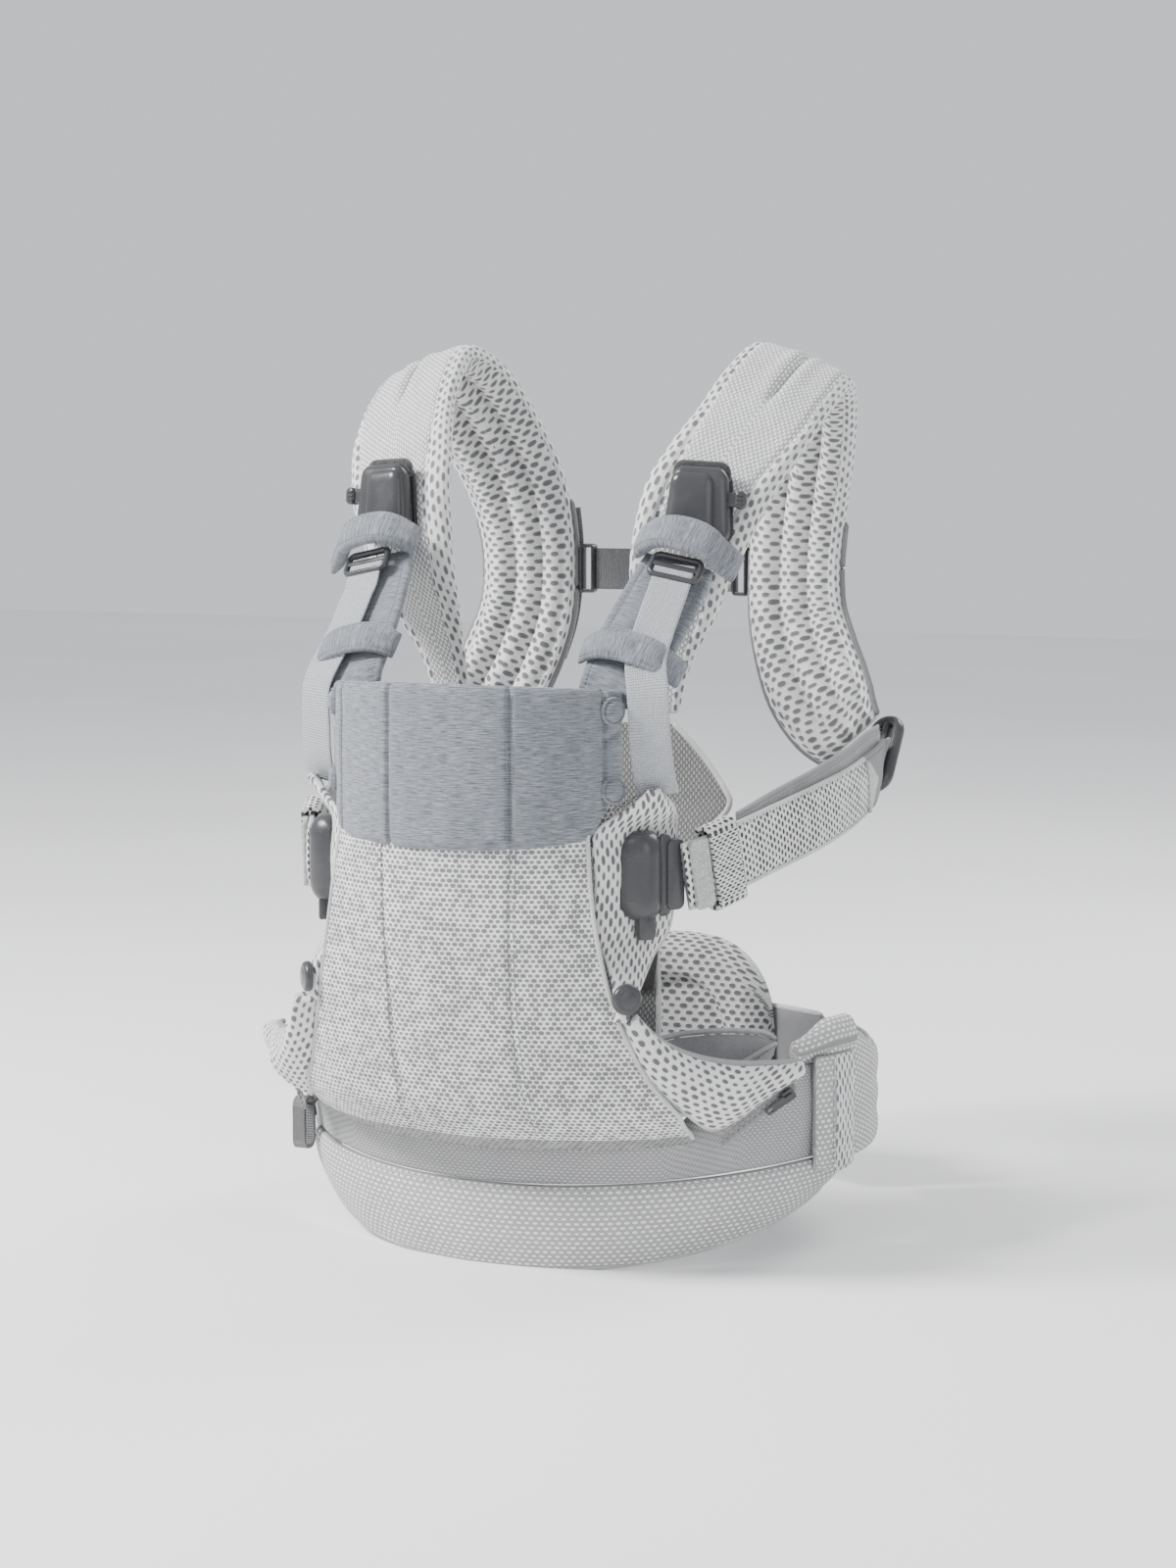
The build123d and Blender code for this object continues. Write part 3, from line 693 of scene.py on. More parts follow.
# Colours, and cells as (long pitch, row pitch, half long, half short)
LIGHT = (0.72, 0.72, 0.71)
PALE = (0.92, 0.92, 0.91)
DASH = (0.93, 0.93, 0.92)
STRAP_CELL = (8.9, 4.6, 2.6, 1.5)
# The second colour of each spacer mesh is the painted shade inside its holes.
MESH_ACROSS = spacer_mesh("mesh_across", LIGHT, (0.15, 0.15, 0.155), STRAP_CELL)
MESH_ALONG = spacer_mesh("mesh_along", LIGHT, (0.17, 0.17, 0.175), (8.6, 4.0, 2.2, 1.12), True)
# Darker copy of the strap mesh for the lumbar pad: its darkness is painted shade inside the back of the
# carrier.
MESH_PAINTED_SHADE = spacer_mesh("mesh_painted_shade", (0.5, 0.5, 0.495), (0.1, 0.1, 0.103), STRAP_CELL)
MESH_WING = spacer_mesh("mesh_wing", LIGHT, (0.13, 0.13, 0.135), (9.4, 3.0, 2.5, 0.95), True)
MESH_LEG = spacer_mesh("mesh_leg", LIGHT, (0.13, 0.13, 0.135), (7.4, 3.9, 2.1, 1.05), True)
MESH_SMALL = spacer_mesh("mesh_small", LIGHT, (0.05, 0.05, 0.052), (4.9, 3.3, 1.45, 1.0))
MESH_PANEL = spacer_mesh("mesh_panel", PALE, (0.2, 0.2, 0.2), (4.15, 2.95, 1.58, 1.2), power=2.4)
MESH_HEM = spacer_mesh("mesh_hem", (0.38, 0.38, 0.38), (0.12, 0.12, 0.12), (4.15, 2.95, 1.5, 1.1), power=2.4)
MESH_BAND = dash_mesh("mesh_band", (0.34, 0.34, 0.345), (0.56, 0.56, 0.56), (3.6, 1.9, 1.1, 0.5))
WOVEN_STRAP = dash_mesh("woven_strap", (0.45, 0.45, 0.45), DASH, (4.3, 1.75, 1.35, 0.65), True)
WOVEN_BELLY = dash_mesh("woven_belly", (0.42, 0.42, 0.42), DASH, (4.9, 3.3, 1.45, 0.85))
# Darker copy of the strap's woven mesh for the bib: its darkness is painted shade in the gap behind the
# front panel.
WOVEN_BIB_PAINTED_SHADE = dash_mesh("woven_bib_painted_shade", (0.16, 0.16, 0.16), (0.33, 0.33, 0.325), (4.3, 1.75, 1.3, 0.6), True)
JERSEY = jersey_cloth()
WEBBING_LIGHT = webbing_cloth("webbing_light", (0.5, 0.52, 0.545))
WEBBING_DARK = webbing_cloth("webbing_dark", (0.23, 0.23, 0.235))
LINING = plain_cloth("lining", (0.33, 0.33, 0.33))
FACING = plain_cloth("facing", (0.22, 0.22, 0.225))
PIPING = plain_cloth("piping", (0.6, 0.6, 0.595))
THREAD = plain_cloth("thread", (0.2, 0.21, 0.23))
THREAD_PALE = plain_cloth("thread_pale", (0.66, 0.66, 0.66))
PLASTIC = moulded_plastic("plastic", (0.043, 0.043, 0.046), 0.24)
PLASTIC_GREY = moulded_plastic("plastic_grey", (0.2, 0.2, 0.205), 0.5)
PLASTIC_BASE = moulded_plastic("plastic_base", (0.02, 0.02, 0.022), 0.5)
FUZZ = fuzzy_cloth("fuzz", (0.6, 0.6, 0.6))
FUZZ_DARK = fuzzy_cloth("fuzz_dark", (0.06, 0.06, 0.06))


def sew(name, lines, thread, body, slot, *sizes):
    """Visible stitches; sizes are a stitch's length, the gap and its radius."""
    finish_piece(stitches(name, lines, thread, *sizes), body)


def pipe(name, path, radius, material):
    """Piping sewn along an edge of the carrier."""
    finish_piece(tube(name, path, radius, material), "carrier")


# Waist belt

def belt_point(angle, inset, height):
    """Point on the waist ellipse; angle 0 is the front and +90 the right side."""
    turn = math.radians(angle)
    x = (BELT_HALF_X - inset) * math.sin(turn)
    y = -(BELT_HALF_Y - inset) * math.cos(turn)
    return Vector((x, y, height))


def belt_run(angle):
    """Length along the belt from its front middle, close enough for the weave."""
    return math.radians(angle) * (BELT_HALF_X + BELT_HALF_Y) / 2


def belt_line(first, last, inset, height, step=1):
    """Points along the belt at whole degrees; height is a number or a function of the angle."""
    high = height if callable(height) else (lambda angle: height)
    return [belt_point(angle, inset, high(angle)) for angle in range(first, last, step)]


def belt_pad(name, first, last, steps, profile, materials, kinds=None, seed=0.0, depth=0.8):
    """Padded stretch of the belt; profile(angle, t) gives (inset, height) points round its section.

    kinds(t, place) picks a material, with place 0..1 round the section from its top outside.
    """
    rings, weave = [], []
    for t in parts(steps):
        angle = first + (last - first) * t
        section = profile(angle, t)
        ring = []
        for inset, height in section:
            p = belt_point(angle, inset, height)
            ring.append(p + (belt_point(angle, inset - 1, height) - p) * wobble(p, 34.0, depth, seed))
        rings.append(ring)
        weave.append([(belt_run(angle), run) for run in running([(*point, 0) for point in section])])
    count = len(rings[0])
    tags = kinds or (lambda t, place: 0)
    return loop_mesh(name, rings, materials, weave, lambda i, j: tags(i / steps, j / count))


def wall(start, end, count, inset):
    """Points of a belt section from one height to another; inset is a function of the place 0..1."""
    return [(inset(f), start + (end - start) * f) for f in parts(count)]


def belly_seam(angle):
    """Height of the seam between the belly panel and the dark band."""
    return 13.0 + 11.0 * math.sin(math.radians(angle)) ** 2


def belly_low(angle):
    """Height of the belly panel's foot, which rises towards both ends."""
    return BELLY_LOW.z - 1.5 + 44.0 * (abs(angle) / 80.0) ** 2.1


def belly_profile(angle, t):
    """Round the belly panel: down its crowned outside, under its hem and up its lining."""
    bottom, top = belly_low(angle), belly_seam(angle) + 0.5
    outside = wall(top, bottom, 12, lambda f: -1.8 + 13.0 * f ** 2.2 + 2.4 * dip(f, 0.0, 0.07))
    hem = [(12.5, bottom - 0.6), (14.5, bottom - 0.4)]
    return outside + hem + wall(bottom, top, 8, lambda f: 5.0 + 10.5 * (1 - f) ** 1.6)


def make_belly():
    belly = belt_pad("belly_panel_cloth", -80, 80, 90, belly_profile, [WOVEN_BELLY, LINING],
                     lambda t, place: 0 if place < 0.6 else 1, seed=3.0)
    finish_piece(belly, "carrier", ["belly_panel"], 1)
    hem = belt_line(-79, 80, 12.8, lambda angle: belly_low(angle) - 0.6, 2)
    pipe("belly_hem", hem, 1.3, PIPING)
    seam = belt_line(-62, 66, -2.2, lambda angle: belly_seam(angle) - 2.2)
    sew("belly_stitches", [seam], THREAD_PALE, "carrier", "woven_mesh", 2.2, 1.2, 0.28)


def band_high(angle):
    """Top of the dark band: behind the panel's hem at the front, up to the zip at the sides."""
    rise = max(0.0, abs(angle) - 35.0)
    return min(83.0, 46.0 + 2.3 * rise)


def band_profile(angle, t):
    """Round the dark band, which bulges and folds towards the sides."""
    low, high = belly_seam(angle) + 0.2, band_high(angle)
    bulge = 2.2 * ease((abs(angle) - 40) / 20)
    folds = 1.6 * math.sin(angle * 0.9) * ease((abs(angle) - 50) / 12)
    swell = bulge + folds
    outside = wall(high, low, 10, lambda f: 2.0 - swell * math.sin(math.pi * f) - 1.6 * dip(f, 0.35, 0.3))
    return outside + wall(low, high, 4, lambda f: 8.0)


def make_band():
    dark_band = belt_pad("belt_band_cloth", -81.5, 81.5, 100, band_profile, [MESH_BAND, LINING],
                         lambda t, place: 0 if place < 0.66 else 1, seed=8.0, depth=0.6)
    finish_piece(dark_band, "carrier", ["belt_band", "belt_side_panels"], 1)


def cuff_profile(angle, t):
    """Round the cuff, with a lower edge that rises towards both ends."""
    low, high = 12.0 + 9.0 * abs(t - 0.62) ** 1.3, 88.0
    bulge = 1.6 * math.sin(math.pi * t)
    outside = wall(high, low, 10, lambda f: -5.0 - bulge * math.sin(math.pi * f))
    return outside + wall(low, high, 10, lambda f: -1.6)


def roll_profile(angle, t):
    """Fat rolled edge on top of the cuff; it thins towards the front."""
    fat = 0.55 + 0.45 * ease(t * 1.6)
    middle = 84.0 + 12.5 * fat
    return [(4.0 - 8.6 * fat * math.cos(a), middle + 13.0 * fat * math.sin(a)) for a in round_turn(20)]


def make_cuffs():
    seam = 0.38
    for side, sign in SIDES:
        first, last = 68 * sign, 81.7 * sign
        cuff = belt_pad(f"belt_cuff_{side}", first, last, 16, cuff_profile, [MESH_WING, WOVEN_BELLY],
                        lambda t, place: 1 if t < seam else 0, seed=4.0 + sign, depth=0.5)
        finish_piece(cuff, "carrier", once(sign, "belt_wing_cuffs"), 1)
        angle = first + (last - first) * seam
        lines = [[belt_point(angle + step * sign, -6.9, z) for z in range(18, 88, 3)]
                 for step in (-0.35, 0.5)]
        sew(f"cuff_stitches_{side}", lines, THREAD, "carrier", "light_mesh", 2.2, 1.2, 0.26)
        roll = belt_pad(f"belt_roll_{side}", 64.5 * sign, 83.5 * sign, 20, roll_profile, [WOVEN_BELLY],
                        seed=6.0 + sign, depth=1.0)
        finish_piece(roll, "carrier", once(sign, "belt_rolls"), 1)


def wing_top(angle):
    """Height of the belt wing, which slopes down towards the back."""
    return 80.0 + 22.0 * max(0.0, 1 - (abs(angle) - 82.0) / 20.0)


def wing_profile(angle, t):
    """Padded wing: woven outside with three sewn swells, smooth facing inside."""
    top, low = wing_top(angle), 16.0
    swell = 2.4 - 1.2 * ease((t - 0.9) / 0.1)
    outside = wall(top - 2, low + 2, 14,
                   lambda f: 0.4 - swell * abs(math.sin(math.pi * (0.08 + 2.84 * f))) ** 0.6)
    inside = wall(low + 2, top - 2, 8, lambda f: 9.0 + 0.8 * math.sin(math.pi * f))
    return [(4.5, top)] + outside + [(4.5, low)] + inside


def make_wings():
    for side, sign, last in (("right", 1, 139), ("left", -1, 112)):
        wing = belt_pad(f"belt_wing_{side}", 82 * sign, last * sign, 44, wing_profile, [WOVEN_BELLY, FACING],
                        lambda t, place: 0 if place < 0.62 else 1, seed=12.0 + sign)
        finish_piece(wing, "carrier", once(sign, "belt_wings"), 1)
        edge = belt_line(83 * sign, last * sign, 4.5, lambda angle: wing_top(angle) + 0.6, 2 * sign)
        pipe(f"wing_binding_{side}", edge, 1.5, PIPING)
        rows = [belt_line(83 * sign, last * sign, 10.3, lambda angle: wing_top(angle) - drop, sign)
                for drop in (5.0, 7.5)]
        sew(f"wing_stitches_{side}", rows, THREAD, "carrier", "band_mesh")


def back_profile(angle, t):
    """Round the flat back belt."""
    low, high = BACK_LOW.z, BACK_HIGH.z
    outside = wall(high, low, 10, lambda f: -3.0 - 1.2 * math.sin(math.pi * f))
    return outside + wall(low, high, 10, lambda f: 3.0)


def make_back_belt():
    back = belt_pad("back_belt_cloth", 142, 218, 44, back_profile, [WOVEN_BELLY, FACING],
                    lambda t, place: 0 if place < 0.5 else 1, seed=21.0)
    finish_piece(back, "carrier", ["back_belt"], 1)
    for name, z in (("top", BACK_HIGH.z), ("low", BACK_LOW.z)):
        pipe(f"back_belt_binding_{name}", belt_line(143, 218, 0.0, z, 2), 2.0, PIPING)
    rows = [belt_line(144, 217, -4.3, z) for z in (BACK_HIGH.z - 6, BACK_LOW.z + 6)]
    sew("back_belt_stitches", rows, THREAD_PALE, "carrier", "band_mesh")


def lumbar_outline(x):
    """Top of the lumbar pad at x = -1..1 of its half width: round shoulders."""
    return LUMBAR_LOW.z + (LUMBAR_HIGH.z - LUMBAR_LOW.z) * (0.5 + 0.5 * (1 - abs(x) ** 2.6) ** 0.5)


def make_lumbar():
    """Pad inside the back of the belt: a raised rim round a sewn recess."""
    columns, levels = 84, 56
    half_angle, half_width, full = 23.3, 72.0, 17.0
    front, back, weave, pinned = [], [], [], []
    for i in range(levels + 1):
        for j in range(columns + 1):
            x = -1 + 2 * j / columns
            high = lumbar_outline(x)
            z = LUMBAR_LOW.z + 2 + (high - LUMBAR_LOW.z - 3) * i / levels
            from_side, from_top = 1 - abs(x), (high - z) / 62.0
            edge = min(from_side, from_top, (z - LUMBAR_LOW.z + 6) / 70.0)
            crown = full * clamp(edge / 0.2) ** 0.5
            ring = math.hypot(x / 0.52, max(0.0, (z - 58) / 38.0))
            recess = 8.5 * (1 - ease((ring - 0.86) / 0.22))
            groove = 4.0 * dip(ring, 1.0, 0.07)
            depth = 4.0 + max(1.0, crown - recess - groove)
            front.append(belt_point(180 + x * half_angle, depth, z))
            back.append(belt_point(180 + x * half_angle, 3.9, z))
            fall = full - crown
            side = from_side < from_top
            weave.append((x * half_width + math.copysign(fall, x) * side, z + fall * (not side)))
            if 0.94 < ring < 1.06 or edge < 0.02:
                pinned.append(len(front) - 1)
    # The pad's front takes the darker mesh, painted shade inside the back of the carrier.
    pad = pad_mesh("lumbar_pad", columns + 1, front, back, [MESH_PAINTED_SHADE, FACING], weave, (0, 1))
    puff(pad, pinned + list(range(len(front), 2 * len(front))), 3.0, 5.0)
    finish_piece(pad, "carrier", ["lumbar_cover", "lumbar_foam"], 1)


# Front panel, the yoke behind the flap, and the flap

# Through the panel: (height, y of its middle, half width, y of its sides)

PANEL_SLICES = [
    (41, -176, 130, -119), (58, -192, 125, -148), (90, -209, 112, -174), (135, -220, 98, -191),
    (185, -226, 88, -196), (226, -227, 83, -193), (240, -227, 82, -191),
]
PANEL_SEAMS = (-38.0, 42.3)


def circle_arc(half, side_y, middle_y, s):
    """Point at s = -1..1 on the arc through (-half, side_y), (0, middle_y) and (half, side_y)."""
    sagitta = side_y - middle_y
    radius = (half * half + sagitta * sagitta) / (2 * sagitta)
    turn = math.atan2(half, radius - sagitta) * s
    return radius * math.sin(turn), middle_y + radius - radius * math.cos(turn)


def panel_point(s, slice_values):
    """Point on the panel at s = -1..1 across a slice, with its seams, waves and tucked foot."""
    z, middle_y, half, side_y = slice_values
    x, y = circle_arc(half, side_y, middle_y, s)
    outward = Vector((x, y + 120, 0)).normalized()
    swell = 3.4 * dip(z, 66, 14) - 5.0 * ease((50 - z) / 9.0)
    seam = sum(1.5 * dip(x, line * (1 + 0.05 * (z - 130) / 100), 2.0) for line in PANEL_SEAMS)
    wave = wobble((x, y, z), 42.0, 1.6, 2.0) * (1 - 0.5 * abs(s))
    tuck = 3.0 * ease((abs(s) - 0.8) / 0.18) * ease((66 - z) / 14)
    p = Vector((x, y, z)) + outward * (swell - seam + wave - tuck)
    p.z -= 2.5 * dip(z, 41, 8) * (1 - s * s)
    return p


def make_panel():
    columns, rows, hem_rows = 110, 84, 8
    slices = through(PANEL_SLICES, rows)
    grid = [[panel_point(-1 + 2 * j / columns, row) for j in range(columns + 1)] for row in slices]
    panel = sheet_mesh("front_panel_cloth", grid, 2.4, [MESH_PANEL, MESH_HEM], flip=True,
                       column_materials=lambda i, j: 1 if i < hem_rows else 0)
    finish_piece(panel, "carrier", ["front_panel"])
    area = sum((a[j + 1] - a[j]).length * (b[j] - a[j]).length
               for a, b in zip(grid, grid[1:]) for j in range(columns)) * 1e-6
    lines = [[panel_point((seam + gap) / row[2], row) + Vector((0, -1.6, 0)) for row in slices[6:]]
             for seam, gaps in zip(PANEL_SEAMS, ((0.0,), (-1.6, 1.6))) for gap in gaps]
    sew("panel_stitches", lines, THREAD, "carrier", "panel_mesh", 2.6, 1.0, 0.4)
    for side, sign in SIDES:
        edge = [panel_point(sign * 0.995, row) + Vector((0.5 * sign, -0.8, 0)) for row in slices[4:]]
        pipe(f"panel_binding_{side}", edge, 1.5, PIPING)


def chest_point(radius, angle, z):
    """Point on an upright cylinder round the chest; angle 0 is the front."""
    turn = math.radians(angle)
    return Vector((radius * math.sin(turn), CHEST_AXIS_Y - radius * math.cos(turn), z))


FLAP_RADIUS = 111.0
FLAP_HALF_ANGLE = 62.5
FLAP_SEAMS = (-46.0, -17.4, 24.2, 55.0)


def make_yoke():
    grid = [[chest_point(100.5 + wobble((a, 0, z), 30, 1.0), a, z) for a in range(-62, 64, 2)]
            for z in range(int(YOKE_LOW.z), int(YOKE_HIGH.z), 4)]
    yoke = sheet_mesh("panel_yoke_cloth", grid, 2.6, [MESH_PANEL], flip=True)
    finish_piece(yoke, "carrier", ["panel_yoke"], 1)


def flap_low(angle):
    """Lower edge of the flap: it dips at the middle and turns up round its corners."""
    corner = ease((abs(angle) - 47) / 17.0)
    return FLAP_LOW.z - 1.0 + 30.0 * corner + 3.5 * (angle / 50.0) ** 2


def flap_point(angle, f, radius):
    """Point on the flap at that radius, with f = 0 on its lower and 1 on its upper edge."""
    low = flap_low(angle)
    top = FLAP_HIGH.z + 1.0 - 5.0 * (angle / 62.0) ** 2
    return chest_point(radius, angle, low + (top - low) * f)


def make_flap():
    columns, rows = 220, 44
    front, back, weave, pinned = [], [], [], []
    for i in range(rows + 1):
        for j in range(columns + 1):
            angle = -FLAP_HALF_ANGLE + 2 * FLAP_HALF_ANGLE * j / columns
            f = i / rows
            edge = min(f, 1 - f) * rows / 3
            side = min(j, columns - j) / 6
            crown = 2.6 * min(1.0, edge, side) ** 0.5
            seams = sum(2.8 * dip(angle, line, 0.75) for line in (*FLAP_SEAMS, -FLAP_SEAMS[3]))
            tab = 2.2 * dip(f, 0.6, 0.025) * (abs(angle) > FLAP_SEAMS[3])
            radius = FLAP_RADIUS - 3.2
            rough = wobble(flap_point(angle, f, radius), 24.0, 1.1, 5.0)
            front.append(flap_point(angle, f, radius + crown - seams - tab + rough))
            back.append(flap_point(angle, f, FLAP_RADIUS - 6))
            weave.append((math.radians(angle) * FLAP_RADIUS, front[-1].z))
            sewn = any(abs(angle - line) < 1.0 for line in FLAP_SEAMS) or tab > 0.5
            if sewn or edge < 0.5 or side < 0.4:
                pinned.append(len(front) - 1)
    flap = pad_mesh("head_flap_pad", columns + 1, front, back, [JERSEY], weave)
    puff(flap, pinned + list(range(len(front), 2 * len(front))), 2.2, 3.0)
    finish_piece(flap, "head_flap", ["head_flap_cover", "head_flap_foam"], 1)
    lines = [[flap_point(line + gap, 0.03 + 0.94 * f, FLAP_RADIUS - 0.9) for f in parts(40)]
             for line, gaps in zip(FLAP_SEAMS, ((0.5,), (0.5,), (-0.8, 0.8), (-0.6,))) for gap in gaps]
    lines += [[flap_point(sign * (FLAP_SEAMS[3] + a), 0.545, FLAP_RADIUS - 0.8) for a in (0, 2, 4, 6)]
              for sign in (1, -1)]
    lines.append([flap_point(a, 0.035, FLAP_RADIUS - 1.6) for a in range(-54, 55)])
    sew("flap_stitches", lines, THREAD, "head_flap", "jersey", 2.0, 1.1, 0.32)
    snap_angle = math.degrees(math.asin((corners("flap_snap_caps")[1].x - 5.0) / FLAP_RADIUS))
    make_snaps([(snap_angle * sign, z) for sign in (1, -1) for z in (262.0, 309.0)])


def make_snaps(places):
    """Cloth-covered snap caps at (angle, height): a low dome inside a stitched ring."""
    profile = [(8.6, -1.2), (8.3, 0.3), (7.4, 0.9), (6.6, -0.6), (6.2, 0.9), (5.4, 2.0), (3.5, 2.6),
               (1.2, 2.8)]
    points, faces, weave, seams = [], [], [], []
    for angle, z in places:
        centre = chest_point(FLAP_RADIUS, angle, z)
        out = (centre - chest_point(0, 0, z)).normalized()
        side = Vector((0, 0, 1)).cross(out).normalized()
        up = out.cross(side)
        base = len(points)
        for radius, lift in profile:
            for a in round_turn(32):
                points.append(centre + (side * math.cos(a) + up * math.sin(a)) * radius + out * lift)
                weave.append((radius * math.cos(a), radius * math.sin(a)))
        for ring in range(len(profile) - 1):
            for k in range(32):
                a, b = base + ring * 32 + k, base + ring * 32 + (k + 1) % 32
                faces.append((a, b, b + 32, a + 32))
        faces.append(tuple(len(points) - 32 + k for k in range(32)))
        seams.append([centre + (side * math.cos(a) + up * math.sin(a)) * 7.6 + out * 0.75
                      for a in (2 * math.pi * f for f in parts(60))])
    caps = add_mesh("flap_snap_cloth", points, faces, [JERSEY], weave)
    finish_piece(caps, "head_flap", ["flap_snap_caps"], 1)
    sew("snap_stitches", seams, THREAD, "head_flap", "jersey", 1.5, 0.7, 0.24)


# Camera, light and floor

CAMERA_PLACE = (0.9173, -2.0677, 0.4821)
CAMERA_TARGET = (-0.0131, 0.022, 0.2417)
LIGHT_TARGET = (0, 0, 0.22)
LENS = 80.2
# name, place, size and power
LIGHTS = (
    ("key", (-1.5, -1.3, 2.0), 0.8, 150),
    ("fill", (2.0, -1.4, 0.9), 1.6, 12),
    ("rim", (0.9, 1.6, 1.7), 1.2, 34),
)


def stand(name, data, place, target):
    """New object at a place, looking at its target."""
    piece = bpy.data.objects.new(name, data)
    bpy.context.collection.objects.link(piece)
    piece.location = place
    piece.rotation_euler = (Vector(target) - Vector(place)).to_track_quat("-Z", "Y").to_euler()
    return piece


def make_camera():
    data = bpy.data.cameras.new("camera")
    data.lens = LENS
    data.sensor_width = 36.0
    bpy.context.scene.camera = stand("camera", data, CAMERA_PLACE, CAMERA_TARGET)


def make_lights():
    for name, place, size, power in LIGHTS:
        data = bpy.data.lights.new(name, "AREA")
        data.shape = "DISK"
        data.size = size
        data.energy = power
        stand(name, data, place, LIGHT_TARGET)


def make_floor():
    """Pale studio floor just under the carrier, and an even pale world."""
    low = CAD_BOX[0][2] * PER_METRE - 0.5
    half = 6000.0
    points = [(-half, -half, low), (half, -half, low), (half, half, low), (-half, half, low)]
    p = Paint("floor", 0.9, specular=0.2)
    shade = p.span(p.noise(p.space(), 1.2, 2.0), 0.3, 0.7)
    paint = p.done(p.mix(shade, (0.86, 0.86, 0.855), (0.9, 0.9, 0.895)))
    add_mesh("floor", points, [(0, 1, 2, 3)], [paint])
    world = bpy.data.worlds.new("studio")
    world.use_nodes = True
    background = world.node_tree.nodes["Background"]
    background.inputs["Color"].default_value = (0.93, 0.95, 1.0, 1.0)
    background.inputs["Strength"].default_value = 0.86
    bpy.context.scene.world = world


# Tools for strap lines, hard pieces and padded wings

def band_line(stations, count, x, lift, side=1, first=0.0, last=1.0, face=1):
    """Line along a band at x = -1..1 across, lift millimetres off its face (1 outer, -1 inner)."""
    line = []
    for i, (centre, across, outward, width, thick, _) in enumerate(ribbon_frames(stations, count)):
        if first <= i / (count - 1) <= last:
            p = centre + across * (x * width / 2) + outward * (face * (thick / 2 + lift))
            line.append(mirrored(p, side))
    return line


def standing(origin, across, outward, side=1):
    """Local frame of a hard piece: returns at(x, y, z) with x across, y up its face and z outward."""
    out = Vector(outward).normalized()
    right = Vector(across)
    right = (right - out * right.dot(out)).normalized()
    up = out.cross(right)

    def at(x, y, z=0.0):
        return mirrored(Vector(origin) + right * x + up * y + out * z, side)
    return at


def rounded(width, height, radius, top=1.0, x0=0.0, y0=0.0):
    """Outline of a rounded rectangle whose top edge is top times as wide, grown by a margin."""
    def outline(grow):
        w, h = width / 2 + grow, height / 2 + grow
        r = max(0.3, min(radius + grow, w, h))
        points = []
        for corner, (right, up) in enumerate(((1, 1), (-1, 1), (-1, -1), (1, -1))):
            for f in parts(7):
                a = math.radians(90 * (corner + f))
                x, y = right * (w - r) + r * math.cos(a), up * (h - r) + r * math.sin(a)
                points.append((x0 + x * (1 + (top - 1) * (y + h) / (2 * h)), y0 + y))
        return points
    return outline


def moulded(name, at, outline, layers, material, closed=False):
    """Hard piece stacked from its outline; layers are (growth, height) pairs."""
    if closed:
        layers = layers + layers[:1]
    rings = [[at(x, y, z) for x, y in outline(grow)] for grow, z in layers]
    lengths = running([(*point, 0) for point in outline(0)])
    weave = [[(z, length) for length in lengths] for _, z in layers]
    piece = loop_mesh(name, rings, [material], weave, caps=not closed)
    piece.data.set_sharp_from_angle(angle=math.radians(50))
    return piece


def rim_layers(inset, half, high):
    """Layers of a closed rounded rim."""
    return [(half * math.cos(a) - inset, high * math.sin(a)) for a in round_turn(14)]


def slab(low, high, edge=0.7):
    """Layers of a block with bevelled edges."""
    return [(-edge, low), (-edge * 0.3, low + edge * 0.3), (0, low + edge), (0, high - edge),
            (-edge * 0.3, high - edge * 0.3), (-edge, high)]


def edge_grid(edges, rows, columns, side, bow, seed, depth):
    """Grid of points between pairs of edge points, bowed outward from the middle of the carrier."""
    out = Vector((0.8, -0.6, -0.1)).normalized()
    grid = []
    for values in through([(*low, *high) for low, high in edges], rows):
        low, high = Vector(values[:3]), Vector(values[3:])
        line = []
        for f in parts(columns):
            p = low.lerp(high, f)
            p += out * (bow * math.sin(math.pi * f) + wobble(p, 26.0, depth, seed))
            line.append(mirrored(p, side))
        grid.append(line)
    return grid


def soft_edges(middle, edge, reach):
    """Thickness of a padded wing: full inside, thin at its edges."""
    def thick(f, g):
        near = min(g, 1 - g) / reach
        return edge + (middle - edge) * clamp(near) ** 0.6
    return thick


def sewn_face(crown, groove, where, width, rough, spread, wave, seed):
    """Shape of a flat padded band: a low crown, a sewn groove near each edge and small waves."""
    def shape(x, place, t, run):
        if place == 1:
            return 0.0
        ripple = rough * noise.noise(Vector((x * spread, run / wave, seed)))
        return crown * (1 - x * x) - groove * dip(abs(x), where, width) + ripple
    return shape


def hard(name, at, outline, layers, body, replaces=(), material=PLASTIC, closed=False):
    """Moulded plastic piece on its body."""
    piece = moulded(name, at, outline, layers, material, closed)
    finish_piece(piece, body, replaces)


# Shoulder straps, from the arm over the shoulder to the adjuster: (place, across, width, thickness)

